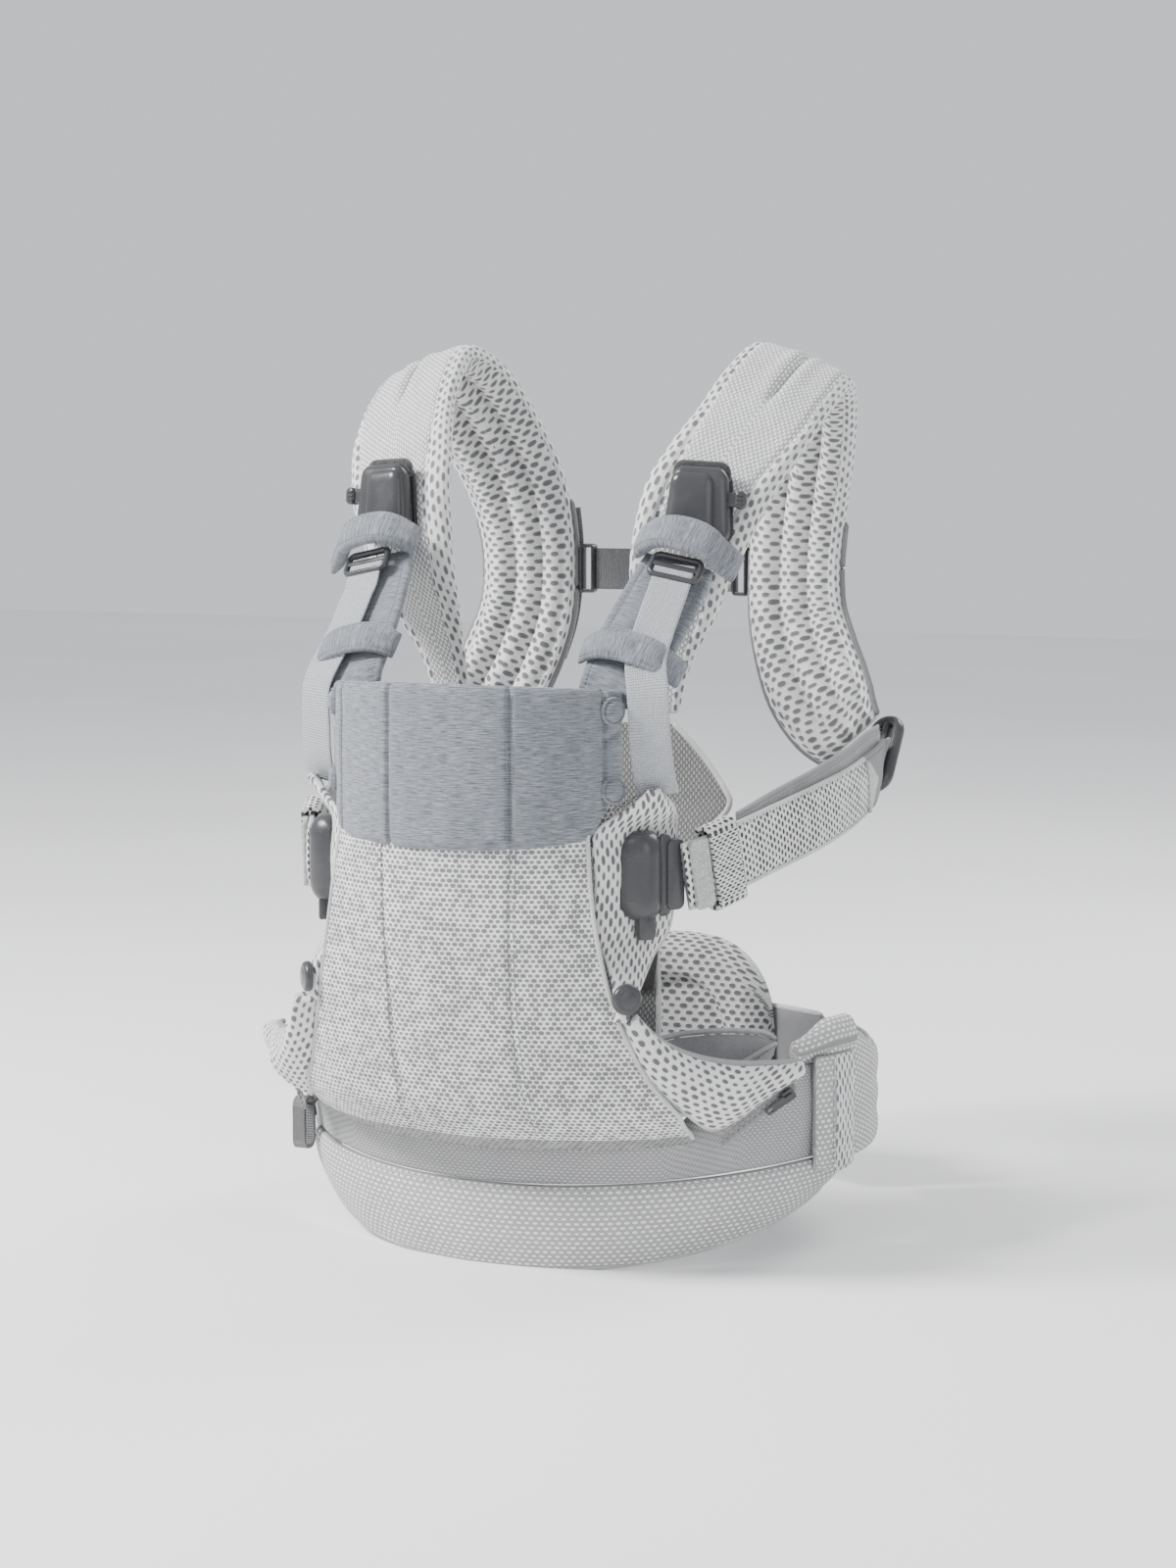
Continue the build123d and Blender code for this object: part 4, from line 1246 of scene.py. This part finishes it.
STRAP_ROUTE = [
    ((72, -57, 299), (1, 0.05, 0), 24, 8),
    ((78, -62, 334), (1, 0.12, 0), 34, 9),
    ((86, -69, 364), (0.97, 0.22, 0), 54, 12),
    ((93, -74, 392), (0.97, 0.24, 0), 67, 14),
    ((103, -67, 428), (0.965, 0.26, 0), 76, 14),
    ((112, -51, 452), (0.96, 0.28, 0), 77, 14),
    ((121, -30, 474), (0.96, 0.28, -0.06), 76, 14),
    ((127, -4, 496), (0.94, 0.3, -0.15), 75, 14),
    ((131, 28, 513), (0.93, 0.12, -0.34), 72, 14),
    ((128, 55, 507), (0.93, -0.14, -0.34), 70, 14),
    ((122, 76, 491), (0.93, -0.2, -0.3), 70, 14),
    ((114, 94, 466), (0.94, -0.2, -0.26), 70, 14),
    ((105, 106, 438), (0.97, -0.17, -0.15), 70, 14),
    ((99, 112, 407), (0.99, -0.1, -0.05), 68, 14),
    ((97, 113, 378), (1, -0.08, 0), 67, 14),
    ((99, 112, 350), (1, -0.06, 0), 68, 14),
    ((107, 109, 324), (0.99, -0.03, 0.06), 70, 13),
    ((117, 106, 302), (0.97, 0, 0.18), 70, 12),
    ((128, 105, 284), (0.94, 0, 0.32), 64, 11),
    ((141, 105, 269), (0.88, 0, 0.46), 50, 9),
]
STRAP_GROOVES = (-0.29, 0.29)


def strap_seam(t):
    """Edge of the woven top: the mesh borders are wider beside the buckle."""
    return 0.6 + 0.2 * ease((t - 0.2) / 0.14)


def strap_shape(x, place, t, run):
    """Outside: flat woven top between two seams and a pleat; inside: three padded ribs."""
    full = ease(t * 5.0) * ease((1 - t) * 14.0)
    ripple = 0.7 * noise.noise(Vector((x * 1.7, run / 21.0, 3.0)))
    if place == 2:
        rib = abs(math.sin(math.pi * (x - STRAP_GROOVES[1]) / (2 * STRAP_GROOVES[1]))) ** 0.75
        return full * (9.4 * rib - 6.0 if abs(x) < 0.88 else -3.0) + ripple
    if place == 0:
        seam = dip(abs(x), strap_seam(t), 0.04)
        pleat = dip(x, 0.05, 0.05) * ease((t - 0.33) / 0.04) * ease((0.56 - t) / 0.05)
        crown = 1 - x * x
        beside = 1.6 * dip(abs(x - 0.05), 0.2, 0.12) * ease((t - 0.33) / 0.06)
        return full * (crown - 1.9 * seam - 4.6 * pleat + beside) + ripple
    return 0.0


def strap_kinds(x, place, t):
    """Woven top, padded mesh inside, and mesh with holes along the strap at its borders."""
    if place == 2:
        return 2 if abs(x) < 0.82 else 1
    return 0 if place == 0 and abs(x) < strap_seam(t) else 1


def make_straps():
    for side, sign in SIDES:
        strap = band(f"shoulder_strap_{side}_cloth", STRAP_ROUTE, 190,
                     [WOVEN_STRAP, MESH_ALONG, MESH_ACROSS], sign, strap_shape, strap_kinds, 4.0, 40)
        replaced = [f"shoulder_strap_{side}", *once(sign, "strap_foams")]
        finish_piece(strap, "carrier", replaced, 1)
        lines = [band_line(STRAP_ROUTE, 260, x * (0.8 + step), -0.9, sign, 0.34, 0.97)
                 for x in (-1, 1) for step in (-0.045, 0.045)]
        lines += [band_line(STRAP_ROUTE, 260, 0.05 + step, 0.2, sign, 0.34, 0.55) for step in (-0.09, 0.09)]
        sew(f"strap_stitches_{side}", lines, THREAD_PALE, "carrier", "light_mesh", 2.4, 1.2, 0.3)
        lines = [band_line(STRAP_ROUTE, 260, line, -5.2, sign, 0.14, 0.97, -1) for line in STRAP_GROOVES]
        sew(f"strap_quilting_{side}", lines, THREAD_PALE, "carrier", "light_mesh", 2.6, 1.4, 0.34)
        for edge, x in (("inner", -0.985), ("outer", 0.985)):
            path = band_line(STRAP_ROUTE, 200, x, -5.2, sign, 0.66, 0.995)
            pipe(f"strap_binding_{edge}_{side}", path, 2.7, FACING)


# Arms: jersey bands with their keepers, hoods and webbing

ARM_ACROSS = (0.97, 0.13, -0.2)
ARM_OUT = (0.23, -0.73, 0.64)
ARM_ROUTE = [
    ((85, -170, 314), ARM_ACROSS, 40, 6), ((88, -165, 323), ARM_ACROSS, 44, 7),
    ((90, -157, 332), ARM_ACROSS, 47, 7), ((93, -141, 349), ARM_ACROSS, 50, 7),
    ((96, -124, 365), ARM_ACROSS, 50, 7),
    ((99, -107, 382), ARM_ACROSS, 48, 7), ((101, -97, 394), ARM_ACROSS, 44, 7),
]
UPRIGHT = (0.94, 0.35, 0)
WEBBING_ROUTE = [
    ((104.4, -112, 393), ARM_ACROSS), ((104.6, -118, 385), ARM_ACROSS), ((104, -124, 376), ARM_ACROSS),
    ((104, -131, 369), ARM_ACROSS), ((104, -145, 354), ARM_ACROSS), ((105.5, -160, 338.5), ARM_ACROSS),
    ((111, -169.5, 318), UPRIGHT), ((112, -169, 294), UPRIGHT), ((113, -165, 272), UPRIGHT),
    ((113, -158, 258), UPRIGHT),
]
LADDER_ORIGIN = (105, -113, 391)
KEEPER_ORIGIN = (92.6, -154.9, 339.3)


def arch(name, at, half, y0, low, high, wide, thick, replaces, tip):
    """Padded jersey loop across an arm, tucked in at both ends; tip lengthens its outer corner."""
    stations = []
    for k in range(11):
        u = -1 + k / 5
        x = u * half + (tip if k == 10 else 0)
        y = y0 + 2.0 * (1 - u * u) - 0.3 * tip * max(0.0, u)
        lift = low + (high - low) * (1 - abs(u) ** 3.2)
        stations.append((at(x, y, lift), at(0, 1) - at(0, 0), wide * (0.86 + 0.14 * (1 - u * u)), thick))
    shape = sewn_face(0.9, 0.9, 0.76, 0.07, 0.5, 1, 9.0, y0)
    finish_piece(band(name, stations, 60, [JERSEY], 1, shape, ends=3.0, steps=14),
                 "carrier", replaces, 1)
    lines = [band_line(stations, 60, x, -0.1, 1, 0.05, 0.95, face)
             for x in (-0.76, 0.76) for face in (1, -1)]
    sew(name + "_stitches", lines, THREAD, "carrier", "jersey", 1.9, 1.0, 0.22)


def make_arms():
    shape = sewn_face(1.1, 1.1, 0.8, 0.06, 0.8, 2, 14.0, 9.0)
    stations = [(place, across, 25, 1.7) for place, across in WEBBING_ROUTE]
    for side, sign in SIDES:
        arm = band(f"arm_{side}_cloth", ARM_ROUTE, 40, [JERSEY], sign, shape, steps=20)
        finish_piece(arm, "carrier", [f"arm_{side}"], 1)
        lines = [band_line(ARM_ROUTE, 60, x, 0.1, sign) for x in (-0.8, 0.8)]
        sew(f"arm_stitches_{side}", lines, THREAD, "carrier", "jersey", 1.9, 1.0, 0.22)
        at = standing(KEEPER_ORIGIN, ARM_ACROSS, ARM_OUT, sign)
        arch(f"arm_keeper_{side}", at, 30.0, -0.5, -5.0, 8.5, 23, 5.0, once(sign, "arm_keepers"), 4.0)
        at = standing(LADDER_ORIGIN, ARM_ACROSS, ARM_OUT, sign)
        arch(f"arm_hood_{side}", at, 29.0, 16.0, -8.0, 11.5, 25, 8.5, (), 6.0)
        webbing = band(f"arm_webbing_{side}_cloth", stations, 90, [WEBBING_LIGHT], sign, ends=0, steps=10)
        finish_piece(webbing, "carrier", [f"arm_webbing_{side}"])
        lines = [band_line(stations, 90, x, 0.15, sign, 0.1, 0.98) for x in (-0.86, 0.86)]
        one, two = (band_line(stations, 90, x, 0.2, sign, 0.16, 0.27) for x in (-0.6, 0.6))
        lines += [one, two, [one[0], two[0]], [one[-1], two[-1]], [one[0], two[-1]], [two[0], one[-1]]]
        sew(f"webbing_stitches_{side}", lines, THREAD, "carrier", "light_webbing", 2.0, 0.9, 0.24)


# Buckles

# Places of hard pieces: (origin, across, outward)
TOP_BUCKLE = ((108, -84, 429), (0.96, 0.24, -0.06), (0.24, -0.96, 0.12))
SIDE_BUCKLE = ((99.5, -163.2, 208), (0.5, 0.866, 0), (0.866, -0.5, 0))
ADJUSTER = ((162, 104, 261), (0, 0.6, 0.8), (0.3, 0.76, -0.57))
STUD = ((102.6, -187.8, 139), (0.8, 0.6, 0), (0.75, -0.66, 0))
STRAP_KEEPER = ((139.2, -122, 214), (-11, -28, -7), (28, -11, 0))
HOOK_PATCH = ((77, -91.5, 143), (1, 0, 0), (0, -0.96, 0.28))
FINGER_LOOP = ((-162, -98, 26), (0, -1, 0), (-1, 0, 0))
# Body, node, place, rim and bar, each of these two with an outline and layers
BAR_BUCKLES = (
    ("ladder", "ladder_buckle", (LADDER_ORIGIN, ARM_ACROSS, ARM_OUT), rounded(34, 19, 6),
     rim_layers(1.9, 1.9, 2.4), rounded(33, 3.4, 1.6), slab(-1.7, 1.9)),
    ("adjuster", "adjuster", ADJUSTER, rounded(58, 26, 12.6),
     rim_layers(3.6, 3.6, 4.6), rounded(54, 5.0, 2.4), slab(-3.4, 3.6, 1.2)),
)


def make_top_buckles():
    shell = [(-1.5, -5.6), (-0.4, -5.2), (0, -4.4), (0, 1.4), (-0.8, 3.4), (-2.4, 4.9), (-4.6, 5.7),
             (-8, 6.1)]
    crest = [(-0.6, 4.4), (0, 5.2), (-0.6, 6.6), (-2.2, 7.8), (-4.4, 8.5), (-7.5, 8.9)]
    for side, sign in SIDES:
        at = standing(*TOP_BUCKLE, sign)
        hard(f"top_buckle_{side}", at, rounded(43, 46, 8, 0.78), shell, "carrier",
             [f"top_buckle_body_{side}"])
        hard(f"top_buckle_crest_{side}", at, rounded(31, 40, 7, 0.84, -4, -1), crest, "carrier")
        hard(f"top_buckle_base_{side}", at, rounded(45, 49, 10, 0.82), slab(-8.2, -5.8), "carrier",
             material=PLASTIC_BASE)
        trim = moulded(f"top_buckle_trim_{side}", at, rounded(39, 14, 6, 0.86, 0, 20.5),
                       slab(-8.5, -2.2, 2.2), FUZZ_DARK)
        finish_piece(trim, "carrier", (), 1)
        lever = f"top_lever_{side}"
        hard(f"top_lever_thumb_{side}", at, rounded(6.9, 11, 3.0, 1, 25.9, 4), slab(-3.4, 4.2, 1.4), lever,
             [f"top_buckle_lever_{side}"])
        hard(f"top_lever_arm_{side}", at, rounded(12, 9, 2, 1, 18.0, 4), slab(-2.6, 2.6), lever)
        for k in range(3):
            hard(f"top_lever_ridge_{k}_{side}", at, rounded(5, 1.0, 0.5, 1, 25.9, 1.4 + 2.6 * k),
                 slab(3.9, 4.8, 0.3), lever)


def make_bar_buckles():
    """Ladder buckles and adjusters: a rounded rim and a middle bar."""
    for side, sign in SIDES:
        for kind, node, place, rim, rim_steps, bar, bar_steps in BAR_BUCKLES:
            at = standing(*place, sign)
            hard(f"{kind}_rim_{side}", at, rim, rim_steps, f"{kind}_{side}", [f"{node}_{side}"], closed=True)
            hard(f"{kind}_bar_{side}", at, bar, bar_steps, f"{kind}_{side}")


def barrelled(at, half, drop):
    """The same frame with its front rounded like a barrel about its upright axis."""
    def bent(x, y, z=0.0):
        return at(x, y, z - drop * (x / half) ** 2 * ease((z - 6.0) / 6.0))
    return bent


def make_side_buckles():
    shell = [(-1.0, 4.6), (-0.2, 5.0), (0.2, 6.4), (0.2, 9.6), (-0.6, 12.2), (-2.0, 14.4), (-4.4, 16.3),
             (-7.5, 17.7), (-11, 18.4), (-14, 18.6)]
    step = [(-0.5, 11.4), (0, 12.2), (-0.5, 13.2), (-1.6, 13.8)]
    for side, sign in SIDES:
        at = standing(*SIDE_BUCKLE, sign)
        body = f"side_strap_{side}"
        hard(f"side_plate_{side}", at, rounded(38, 57, 11), slab(2.0, 4.0), "carrier",
             once(sign, "side_buckle_plates"), PLASTIC_BASE)
        hard(f"side_shell_{side}", barrelled(at, 16, 7.5), rounded(32, 54, 13.5, 0.9, 1, 2), shell, body,
             [f"side_buckle_shell_{side}"])
        hard(f"side_shell_step_{side}", at, rounded(9, 50, 3.5, 1, 13.5, 2), step, body)
        hard(f"side_strap_bar_{side}", at, rounded(13, 43, 4.5, 1, 20.5, 2), slab(8.6, 15.4, 1.3), body)
        hard(f"side_button_{side}_shape", at, rounded(12.4, 17, 3.4, 1, 1, -28), slab(6.9, 13.2, 1.1),
             f"side_button_{side}", [f"side_buckle_button_{side}"])
        hard(f"side_plate_patch_{side}", at, rounded(39, 60, 12, 1, -2.5, -1.5), slab(0.9, 3.0), "carrier",
             material=FUZZ_DARK)


def make_studs():
    dome = [(-1.4, 4.4), (-0.3, 4.6), (0, 5.4), (-0.2, 7.4), (-1.0, 8.6), (-2.6, 9.3), (-3.4, 9.1),
            (-4.6, 9.5), (-7, 9.9)]
    for side, sign in SIDES:
        at = standing(*STUD, sign)
        hard(f"stud_dome_{side}", at, rounded(19, 19, 9.5), dome, f"stud_cap_{side}", [f"stud_cap_{side}"])


# Side wings, leg wings and zips; edges are pairs of (inner, outer) points

SIDE_WING_EDGES = [
    ((100, -192, 125), (103.5, -188, 125)), ((98.5, -192.5, 140), (108, -181, 140)),
    ((94, -190.5, 158), (109, -160, 158)), ((85.5, -188.2, 178), (113, -140.6, 178)),
    ((84.6, -189, 208), (115, -136.4, 208)), ((84.6, -189, 236), (115, -136.4, 236)),
    ((101, -178, 250), (118, -148, 250)), ((112, -171, 262), (115, -166, 262)),
]
LEG_WING_EDGES = [
    ((103, -187, 125.5), (107, -182, 128)), ((107, -181, 108), (116, -173, 115)),
    ((115, -171, 87), (128, -163, 105)), ((127, -153, 67), (144, -149, 98)),
    ((140, -129, 52), (160, -132, 94)), ((160, -110, 67), (172, -110, 92)),
    ((177, -92, 84), (180, -92, 90)),
]
LINING_EDGES = [
    ((106, -158, 84), (104, -152, 104)), ((116, -142, 68), (118, -134, 107)),
    ((132, -124, 56), (138, -114, 108)), ((146, -105, 68), (154, -95, 105)),
    ((155, -89, 87), (159, -81, 99)),
]
LINING_ROWS, LINING_COLUMNS = 50, 18


def sheet_border(grid):
    """Numbers of the points on a sheet mesh's rim, front and back."""
    rows, columns = len(grid), len(grid[0])
    rim = rim_loop(rows, columns)
    return rim + [number + rows * columns for number in rim]


def lip_column(i):
    """Column of the lining where its lower lip lies: it sags away from the upper one."""
    return 17.9 - 7.0 * math.sin(math.pi * i / LINING_ROWS)


def lip_line(grid, sign, drop=0.0):
    """Line over the face of the lining along its lower lip, or some columns below it."""
    path = []
    for i, line in enumerate(grid):
        column = lip_column(i) - drop
        k = int(column)
        path.append(line[k].lerp(line[k + 1], column - k) + Vector((1.6 * sign, -1.8, 0)))
    return path


def make_side_wings(side, sign):
    grid = edge_grid(SIDE_WING_EDGES, 60, 20, sign, 3.0, 3.0, 2.2)
    wing = sheet_mesh(f"side_wing_{side}_cloth", grid, soft_edges(5.4, 2.4, 0.16), [MESH_WING])
    puff(wing, sheet_border(grid), 3.0, 1.8)
    finish_piece(wing, "carrier", [f"side_wing_{side}"], 1)
    pipe(f"side_wing_edge_{side}", [line[-1] for line in grid], 1.5, PIPING)


def make_leg_wings(side, sign):
    """Leg wing with its lips; the left one bows out further."""
    grid = edge_grid(LEG_WING_EDGES, 70, 22, sign, 5.0 if sign > 0 else 12.0, 7.0, 2.4)
    wing = sheet_mesh(f"leg_wing_{side}_cloth", grid, soft_edges(6.0, 2.6, 0.2), [MESH_LEG])
    puff(wing, sheet_border(grid), 3.0, 2.2)
    finish_piece(wing, "carrier", [f"leg_wing_{side}"], 1)
    pipe(f"leg_wing_lip_{side}", [line[-1] for line in grid], 2.1, LINING)
    pipe(f"leg_wing_hem_{side}", [line[0] for line in grid], 1.4, PIPING)


def make_leg_linings(side, sign):
    """Lining of the leg opening: dark facing between its upper and its lower lip."""
    grid = edge_grid(LINING_EDGES, LINING_ROWS, LINING_COLUMNS, sign, 2.0, 11.0, 2.6)
    lining = sheet_mesh(f"leg_lining_{side}_cloth", grid, soft_edges(4.0, 2.0, 0.2), [LINING, FACING],
                        column_materials=lambda i, j: 1 if j > lip_column(i) else 0)
    finish_piece(lining, "carrier", once(sign, "leg_linings"), 1)
    rows = [lip_line(grid, sign, drop) for drop in (1.2, 1.9)]
    sew(f"lining_stitches_{side}", rows, THREAD, "carrier", "lining")
    high = [line[-1] + Vector((0, 0, 2.2)) for line in grid]
    pipe(f"lining_upper_lip_{side}", high, 1.8, LINING)
    pipe(f"lining_lower_lip_{side}", lip_line(grid, sign), 1.8, LINING)


def make_wing_pads():
    for side, sign in SIDES:
        make_side_wings(side, sign)
        make_leg_wings(side, sign)
        make_leg_linings(side, sign)


ZIP_START = Vector((143, -131, 44))
ZIP_END = Vector((178, -96, 76))
ZIP_TEETH = 28


def make_zips():
    out = Vector((0.6, -0.65, -0.1)).normalized()
    along = (ZIP_END - ZIP_START).normalized()
    across = along.cross(out)
    stations = [(ZIP_START.lerp(ZIP_END, f), across, 6.5, 1.6) for f in parts(6)]
    box = [(dx, dy, dz) for dz in (0, 1) for dx, dy in ((-1, -1), (1, -1), (1, 1), (-1, 1))]
    sides = [(0, 1, 2, 3), (4, 5, 6, 7)] + [(k, (k + 1) % 4, (k + 1) % 4 + 4, k + 4) for k in range(4)]
    for side, sign in SIDES:
        tape = band(f"zip_tape_{side}", stations, 30, [LINING], sign, ends=0, steps=6)
        finish_piece(tape, "carrier", once(sign, "zip_tapes"))
        points, faces = [], []
        for k in range(ZIP_TEETH):
            centre = ZIP_START.lerp(ZIP_END, (k + 0.5) / ZIP_TEETH)
            lean = 0.9 * (-1) ** k
            faces += [tuple(len(points) + i for i in face) for face in sides]
            for dx, dy, dz in box:
                corner = along * (dx * 0.45) + across * (lean + dy * 1.3) + out * (0.7 + dz * 1.3)
                points.append(mirrored(centre + corner, sign))
        teeth = add_mesh(f"zip_teeth_{side}", points, faces, [PLASTIC_GREY], smooth=False)
        fix_normals(teeth)
        finish_piece(teeth, "carrier")


# Side straps: (place, across, width) from the adjuster to the buckle

SIDE_ROUTE = [
    ((169, 80, 256), (0, 0.3, 0.95), 34), ((173, 54, 250), (0, 0.2, 1), 38), ((173, 14, 242), (0, 0, 1), 40),
    ((167, -28, 234), (0, 0, 1), 42), ((158, -64, 227), (0, 0, 1), 42), ((147, -102, 219), (0, 0, 1), 42),
    ((136, -130, 212), (0, 0, 1), 42), ((127, -150, 208), (0, 0, 1), 42),
]
SECOND_ROUTE = [
    ((167, 85, 265), (0, 0.3, 0.95), 36), ((167.5, 56, 262), (0, 0.2, 1), 36),
    ((168, 14, 254), (0, 0, 1), 36), ((162, -28, 245), (0, 0, 1), 36),
    ((153, -64, 237), (0, 0, 1), 35), ((142, -100, 227), (0, 0, 1), 33),
]
# From the adjuster to the strap's own start, with its thickness too
ROOT_ROUTE = [
    ((164.2, 98.5, 259.5), (0, 0.6, 0.8), 30, 3.0), ((165.8, 94, 258.2), (0, 0.55, 0.84), 31, 3.0),
    ((167, 89, 257), (0, 0.45, 0.9), 32, 3.2), ((169, 77, 255.6), (0, 0.3, 0.95), 33, 3.2),
]


def side_kinds(x, place, t):
    """Smooth facing beside the adjuster, then small-holed mesh with plain edges."""
    if t < 0.2:
        return 2
    return 0 if abs(x) < 0.88 and place != 1 else 1


def make_side_straps():
    shape = sewn_face(0.9, 0.7, 0.84, 0.05, 0.5, 2, 16.0, 5.0)
    stations = [(place, across, width, 4.0) for place, across, width in SIDE_ROUTE]
    second = [(place, across, width, 2.2) for place, across, width in SECOND_ROUTE]
    ends = (
        ("tip", 17, triangle(20, 37), slab(1.4, 4.2, 0.6)),
        ("tab", 91, rounded(15, 43, 3), slab(1.9, 5.4, 1.0)),
    )
    for side, sign in SIDES:
        body = f"side_strap_{side}"
        strap = band(f"{body}_cloth", stations, 130, [MESH_SMALL, PIPING, FACING], sign, shape, side_kinds,
                     steps=26)
        finish_piece(strap, body, [body], 1)
        root = band(f"side_strap_root_{side}", ROOT_ROUTE, 24, [FACING], sign, ends=0, steps=12)
        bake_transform(root)
        layer = band(f"side_strap_tail_{side}", second, 80, [LINING], sign, shape, steps=18)
        finish_piece(layer, body, (), 1)
        lines = [band_line(stations, 160, x, 0.1, sign, face=face)
                 for x in (-0.84, 0.84) for face in (1, -1)]
        lines += [band_line(second, 100, x, 0.4, sign) for x in (0.72, 0.84)]
        sew(f"side_strap_stitches_{side}", lines, THREAD, body, "light_mesh", 2.0, 1.0, 0.24)
        frames = ribbon_frames(stations, 100)
        for name, place, outline, layers in ends:
            centre, across, outward = frames[place][:3]
            at = standing(centre, across.cross(outward), outward, sign)
            end = moulded(f"side_strap_{name}_{side}", at, outline, layers, FUZZ)
            finish_piece(end, body, (), 1)
        at = standing(*STRAP_KEEPER, sign)
        keeper = moulded(f"side_keeper_{side}", at_turned(at), rounded(11.5, 51, 4.2),
                         loop_layers(11.5, 1.0, -1.4, 8), MESH_SMALL, closed=True)
        finish_piece(keeper, body, [f"side_strap_keeper_{side}"])


def at_turned(at):
    """The same frame with its height axis along the strap: outline x outward, y up, height along."""
    def turned(x, y, z=0.0):
        return at(z, y, x)
    return turned


def loop_layers(half, outer, inner, count):
    """Layers of a flat cloth loop: along its outside and back along its inside."""
    outside = [(outer, -half + 2 * half * f) for f in parts(count)]
    return outside + [(inner, half - 2 * half * f) for f in parts(count)]


def triangle(length, height):
    """Outline of a folded tip: a triangle that points along the strap."""
    def outline(grow):
        points = []
        shape = [(-length / 2 - grow, height / 2 + grow), (-length / 2 - grow, -height / 2 - grow),
                 (length / 2 + grow * 1.4, 0.0)]
        for a, b in zip(shape, shape[1:] + shape[:1]):
            points += [(a[0] + (b[0] - a[0]) * k / 10, a[1] + (b[1] - a[1]) * k / 10) for k in range(10)]
        return points
    return outline


# Chest bib, back strap, waist webbing and finger loop

# Up the bib: (y, height, half width)
BIB_OUTLINE = [
    (-146, 46, 76), (-122, 74, 84), (-100, 101, 89), (-78, 178, 80), (-63, 222, 104),
    (-58, 240, 118), (-57, 252, 115), (-56, 276, 96), (-56, 291, 80),
]


def make_bib():
    rows, columns = 90, 60
    grid = []
    for y, z, half in through(BIB_OUTLINE, rows):
        line = []
        for j in range(columns + 1):
            wave = wobble((half * j / 30, y, z), 40.0, 1.6, 4.0)
            line.append(Vector((half * (-1 + 2 * j / columns), y + wave, z)))
        grid.append(line)
    # The bib's woven mesh is darkened with painted shade of the gap behind the front panel.
    bib = sheet_mesh("chest_bib_cloth", grid, soft_edges(4.4, 2.6, 0.05), [WOVEN_BIB_PAINTED_SHADE])
    finish_piece(bib, "carrier", ["chest_bib"], 1)
    for side, column in (("left", 0), ("right", columns)):
        pipe(f"bib_binding_{side}", [line[column] for line in grid], 2.0, PIPING)
    lines = [[grid[rows - 6 - 2 * k][int(columns / 2 + sign * (26 - k * 0.9))] + Vector((0, -2.6, gap))
              for k in range(24)] for sign in (1, -1) for gap in (0.0, 2.4)]
    sew("bib_stitches", lines, THREAD, "carrier", "woven_mesh")
    at = standing(*HOOK_PATCH)
    patch = moulded("hook_patch_fuzz", at, rounded(14, 31, 2.5), slab(-0.9, 1.3, 0.5), FUZZ_DARK)
    finish_piece(patch, "carrier", ["hook_patch"])


def make_back_strap():
    """Back strap that slides on two rails by its two sliders."""
    y, z = 119.5, 379
    stations = [((x, y + 0.8 * math.sin(x / 16.0), z), (0, 0, 1), 28, 1.9) for x in range(-50, 51, 10)]
    strap = band("back_strap_webbing", stations, 60, [WEBBING_DARK], ends=0, steps=10)
    finish_piece(strap, "back_strap", ["back_strap"])
    places = [(78, 118.5, 318), (72, 122.5, 340), (69, 124.2, 362), (68, 124.8, 395), (70, 123.8, 420)]
    stations = [(place, (1, 0, 0), 12, 1.8) for place in places]
    for side, sign in SIDES:
        rail = band(f"strap_rail_{side}", stations, 50, [WEBBING_DARK], sign, ends=0, steps=6)
        finish_piece(rail, "carrier", once(sign, "strap_rails"))
    at = standing((0, y, z), (1, 0, 0), (0, -1, 0))
    for side, sign in SIDES:
        hard(f"back_slider_{side}", at, rounded(11.4, 34, 2.8, 1, 56 * sign), rim_layers(1.5, 1.5, 4.9),
             "back_strap", once(sign, "back_sliders"), closed=True)


def make_waist_webbing():
    """Closing webbing in a straight line between the ends of the belt, in two lengths."""
    height = 48
    start, end = belt_point(-112, 2, height), belt_point(-142, 0, height)
    along = (end - start).normalized()
    total = (end - start).length
    out = along.cross(Vector((0, 0, 1)))
    front = [(start + along * d + out * 0.4 * math.sin(d / 7), (0, 0, 1), 38, 1.8)
             for d in (1, 8, 15, 22, 28, 34, 39)]
    webbing = band("waist_webbing_front", front, 40, [WEBBING_DARK], ends=0, steps=12)
    finish_piece(webbing, "carrier", ["waist_webbing"])
    first, last = 77, total - 1
    rear = [(start + along * d, (0, 0, 1), 38, 2.4) for d in (first, (first + total) / 2, last)]
    tail = band("waist_webbing_rear", rear, 20, [WEBBING_DARK], ends=0, steps=12)
    finish_piece(tail, "carrier")
    webbing.parent = None
    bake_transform(webbing)


def make_finger_loop():
    at = standing(*FINGER_LOOP)
    loop = moulded("finger_loop_cloth", at, rounded(13.6, 33, 5.6), loop_layers(4.4, 0.7, -1.5, 6),
                   WEBBING_DARK, closed=True)
    finish_piece(loop, "carrier", ["belt_finger_loop"])
    tab = [(place, (1, 0, 0), 9, 1.8) for place in ((-162, -93, 36), (-160.5, -87, 41), (-158, -79, 44))]
    strip = band("finger_loop_tab", tab, 16, [WEBBING_DARK], ends=0, steps=6)
    finish_piece(strip, "carrier")


def paint_cad():
    """Materials of the CAD pieces that stay visible."""
    for name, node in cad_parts.items():
        if name.startswith(("zip_slider", "snap_studs", "stud_posts", "waist_buckle")):
            for held in node.material_slots:
                held.material = PLASTIC
            if not node.material_slots:
                node.data.materials.append(PLASTIC)


make_camera()
make_floor()
make_lights()
make_straps()
make_arms()
make_top_buckles()
make_bar_buckles()
make_side_buckles()
make_studs()
make_wing_pads()
make_zips()
make_side_straps()
make_bib()
make_back_strap()
make_waist_webbing()
make_finger_loop()
paint_cad()
make_belly()
make_band()
make_cuffs()
make_wings()
make_back_belt()
make_lumbar()
make_panel()
make_yoke()
make_flap()
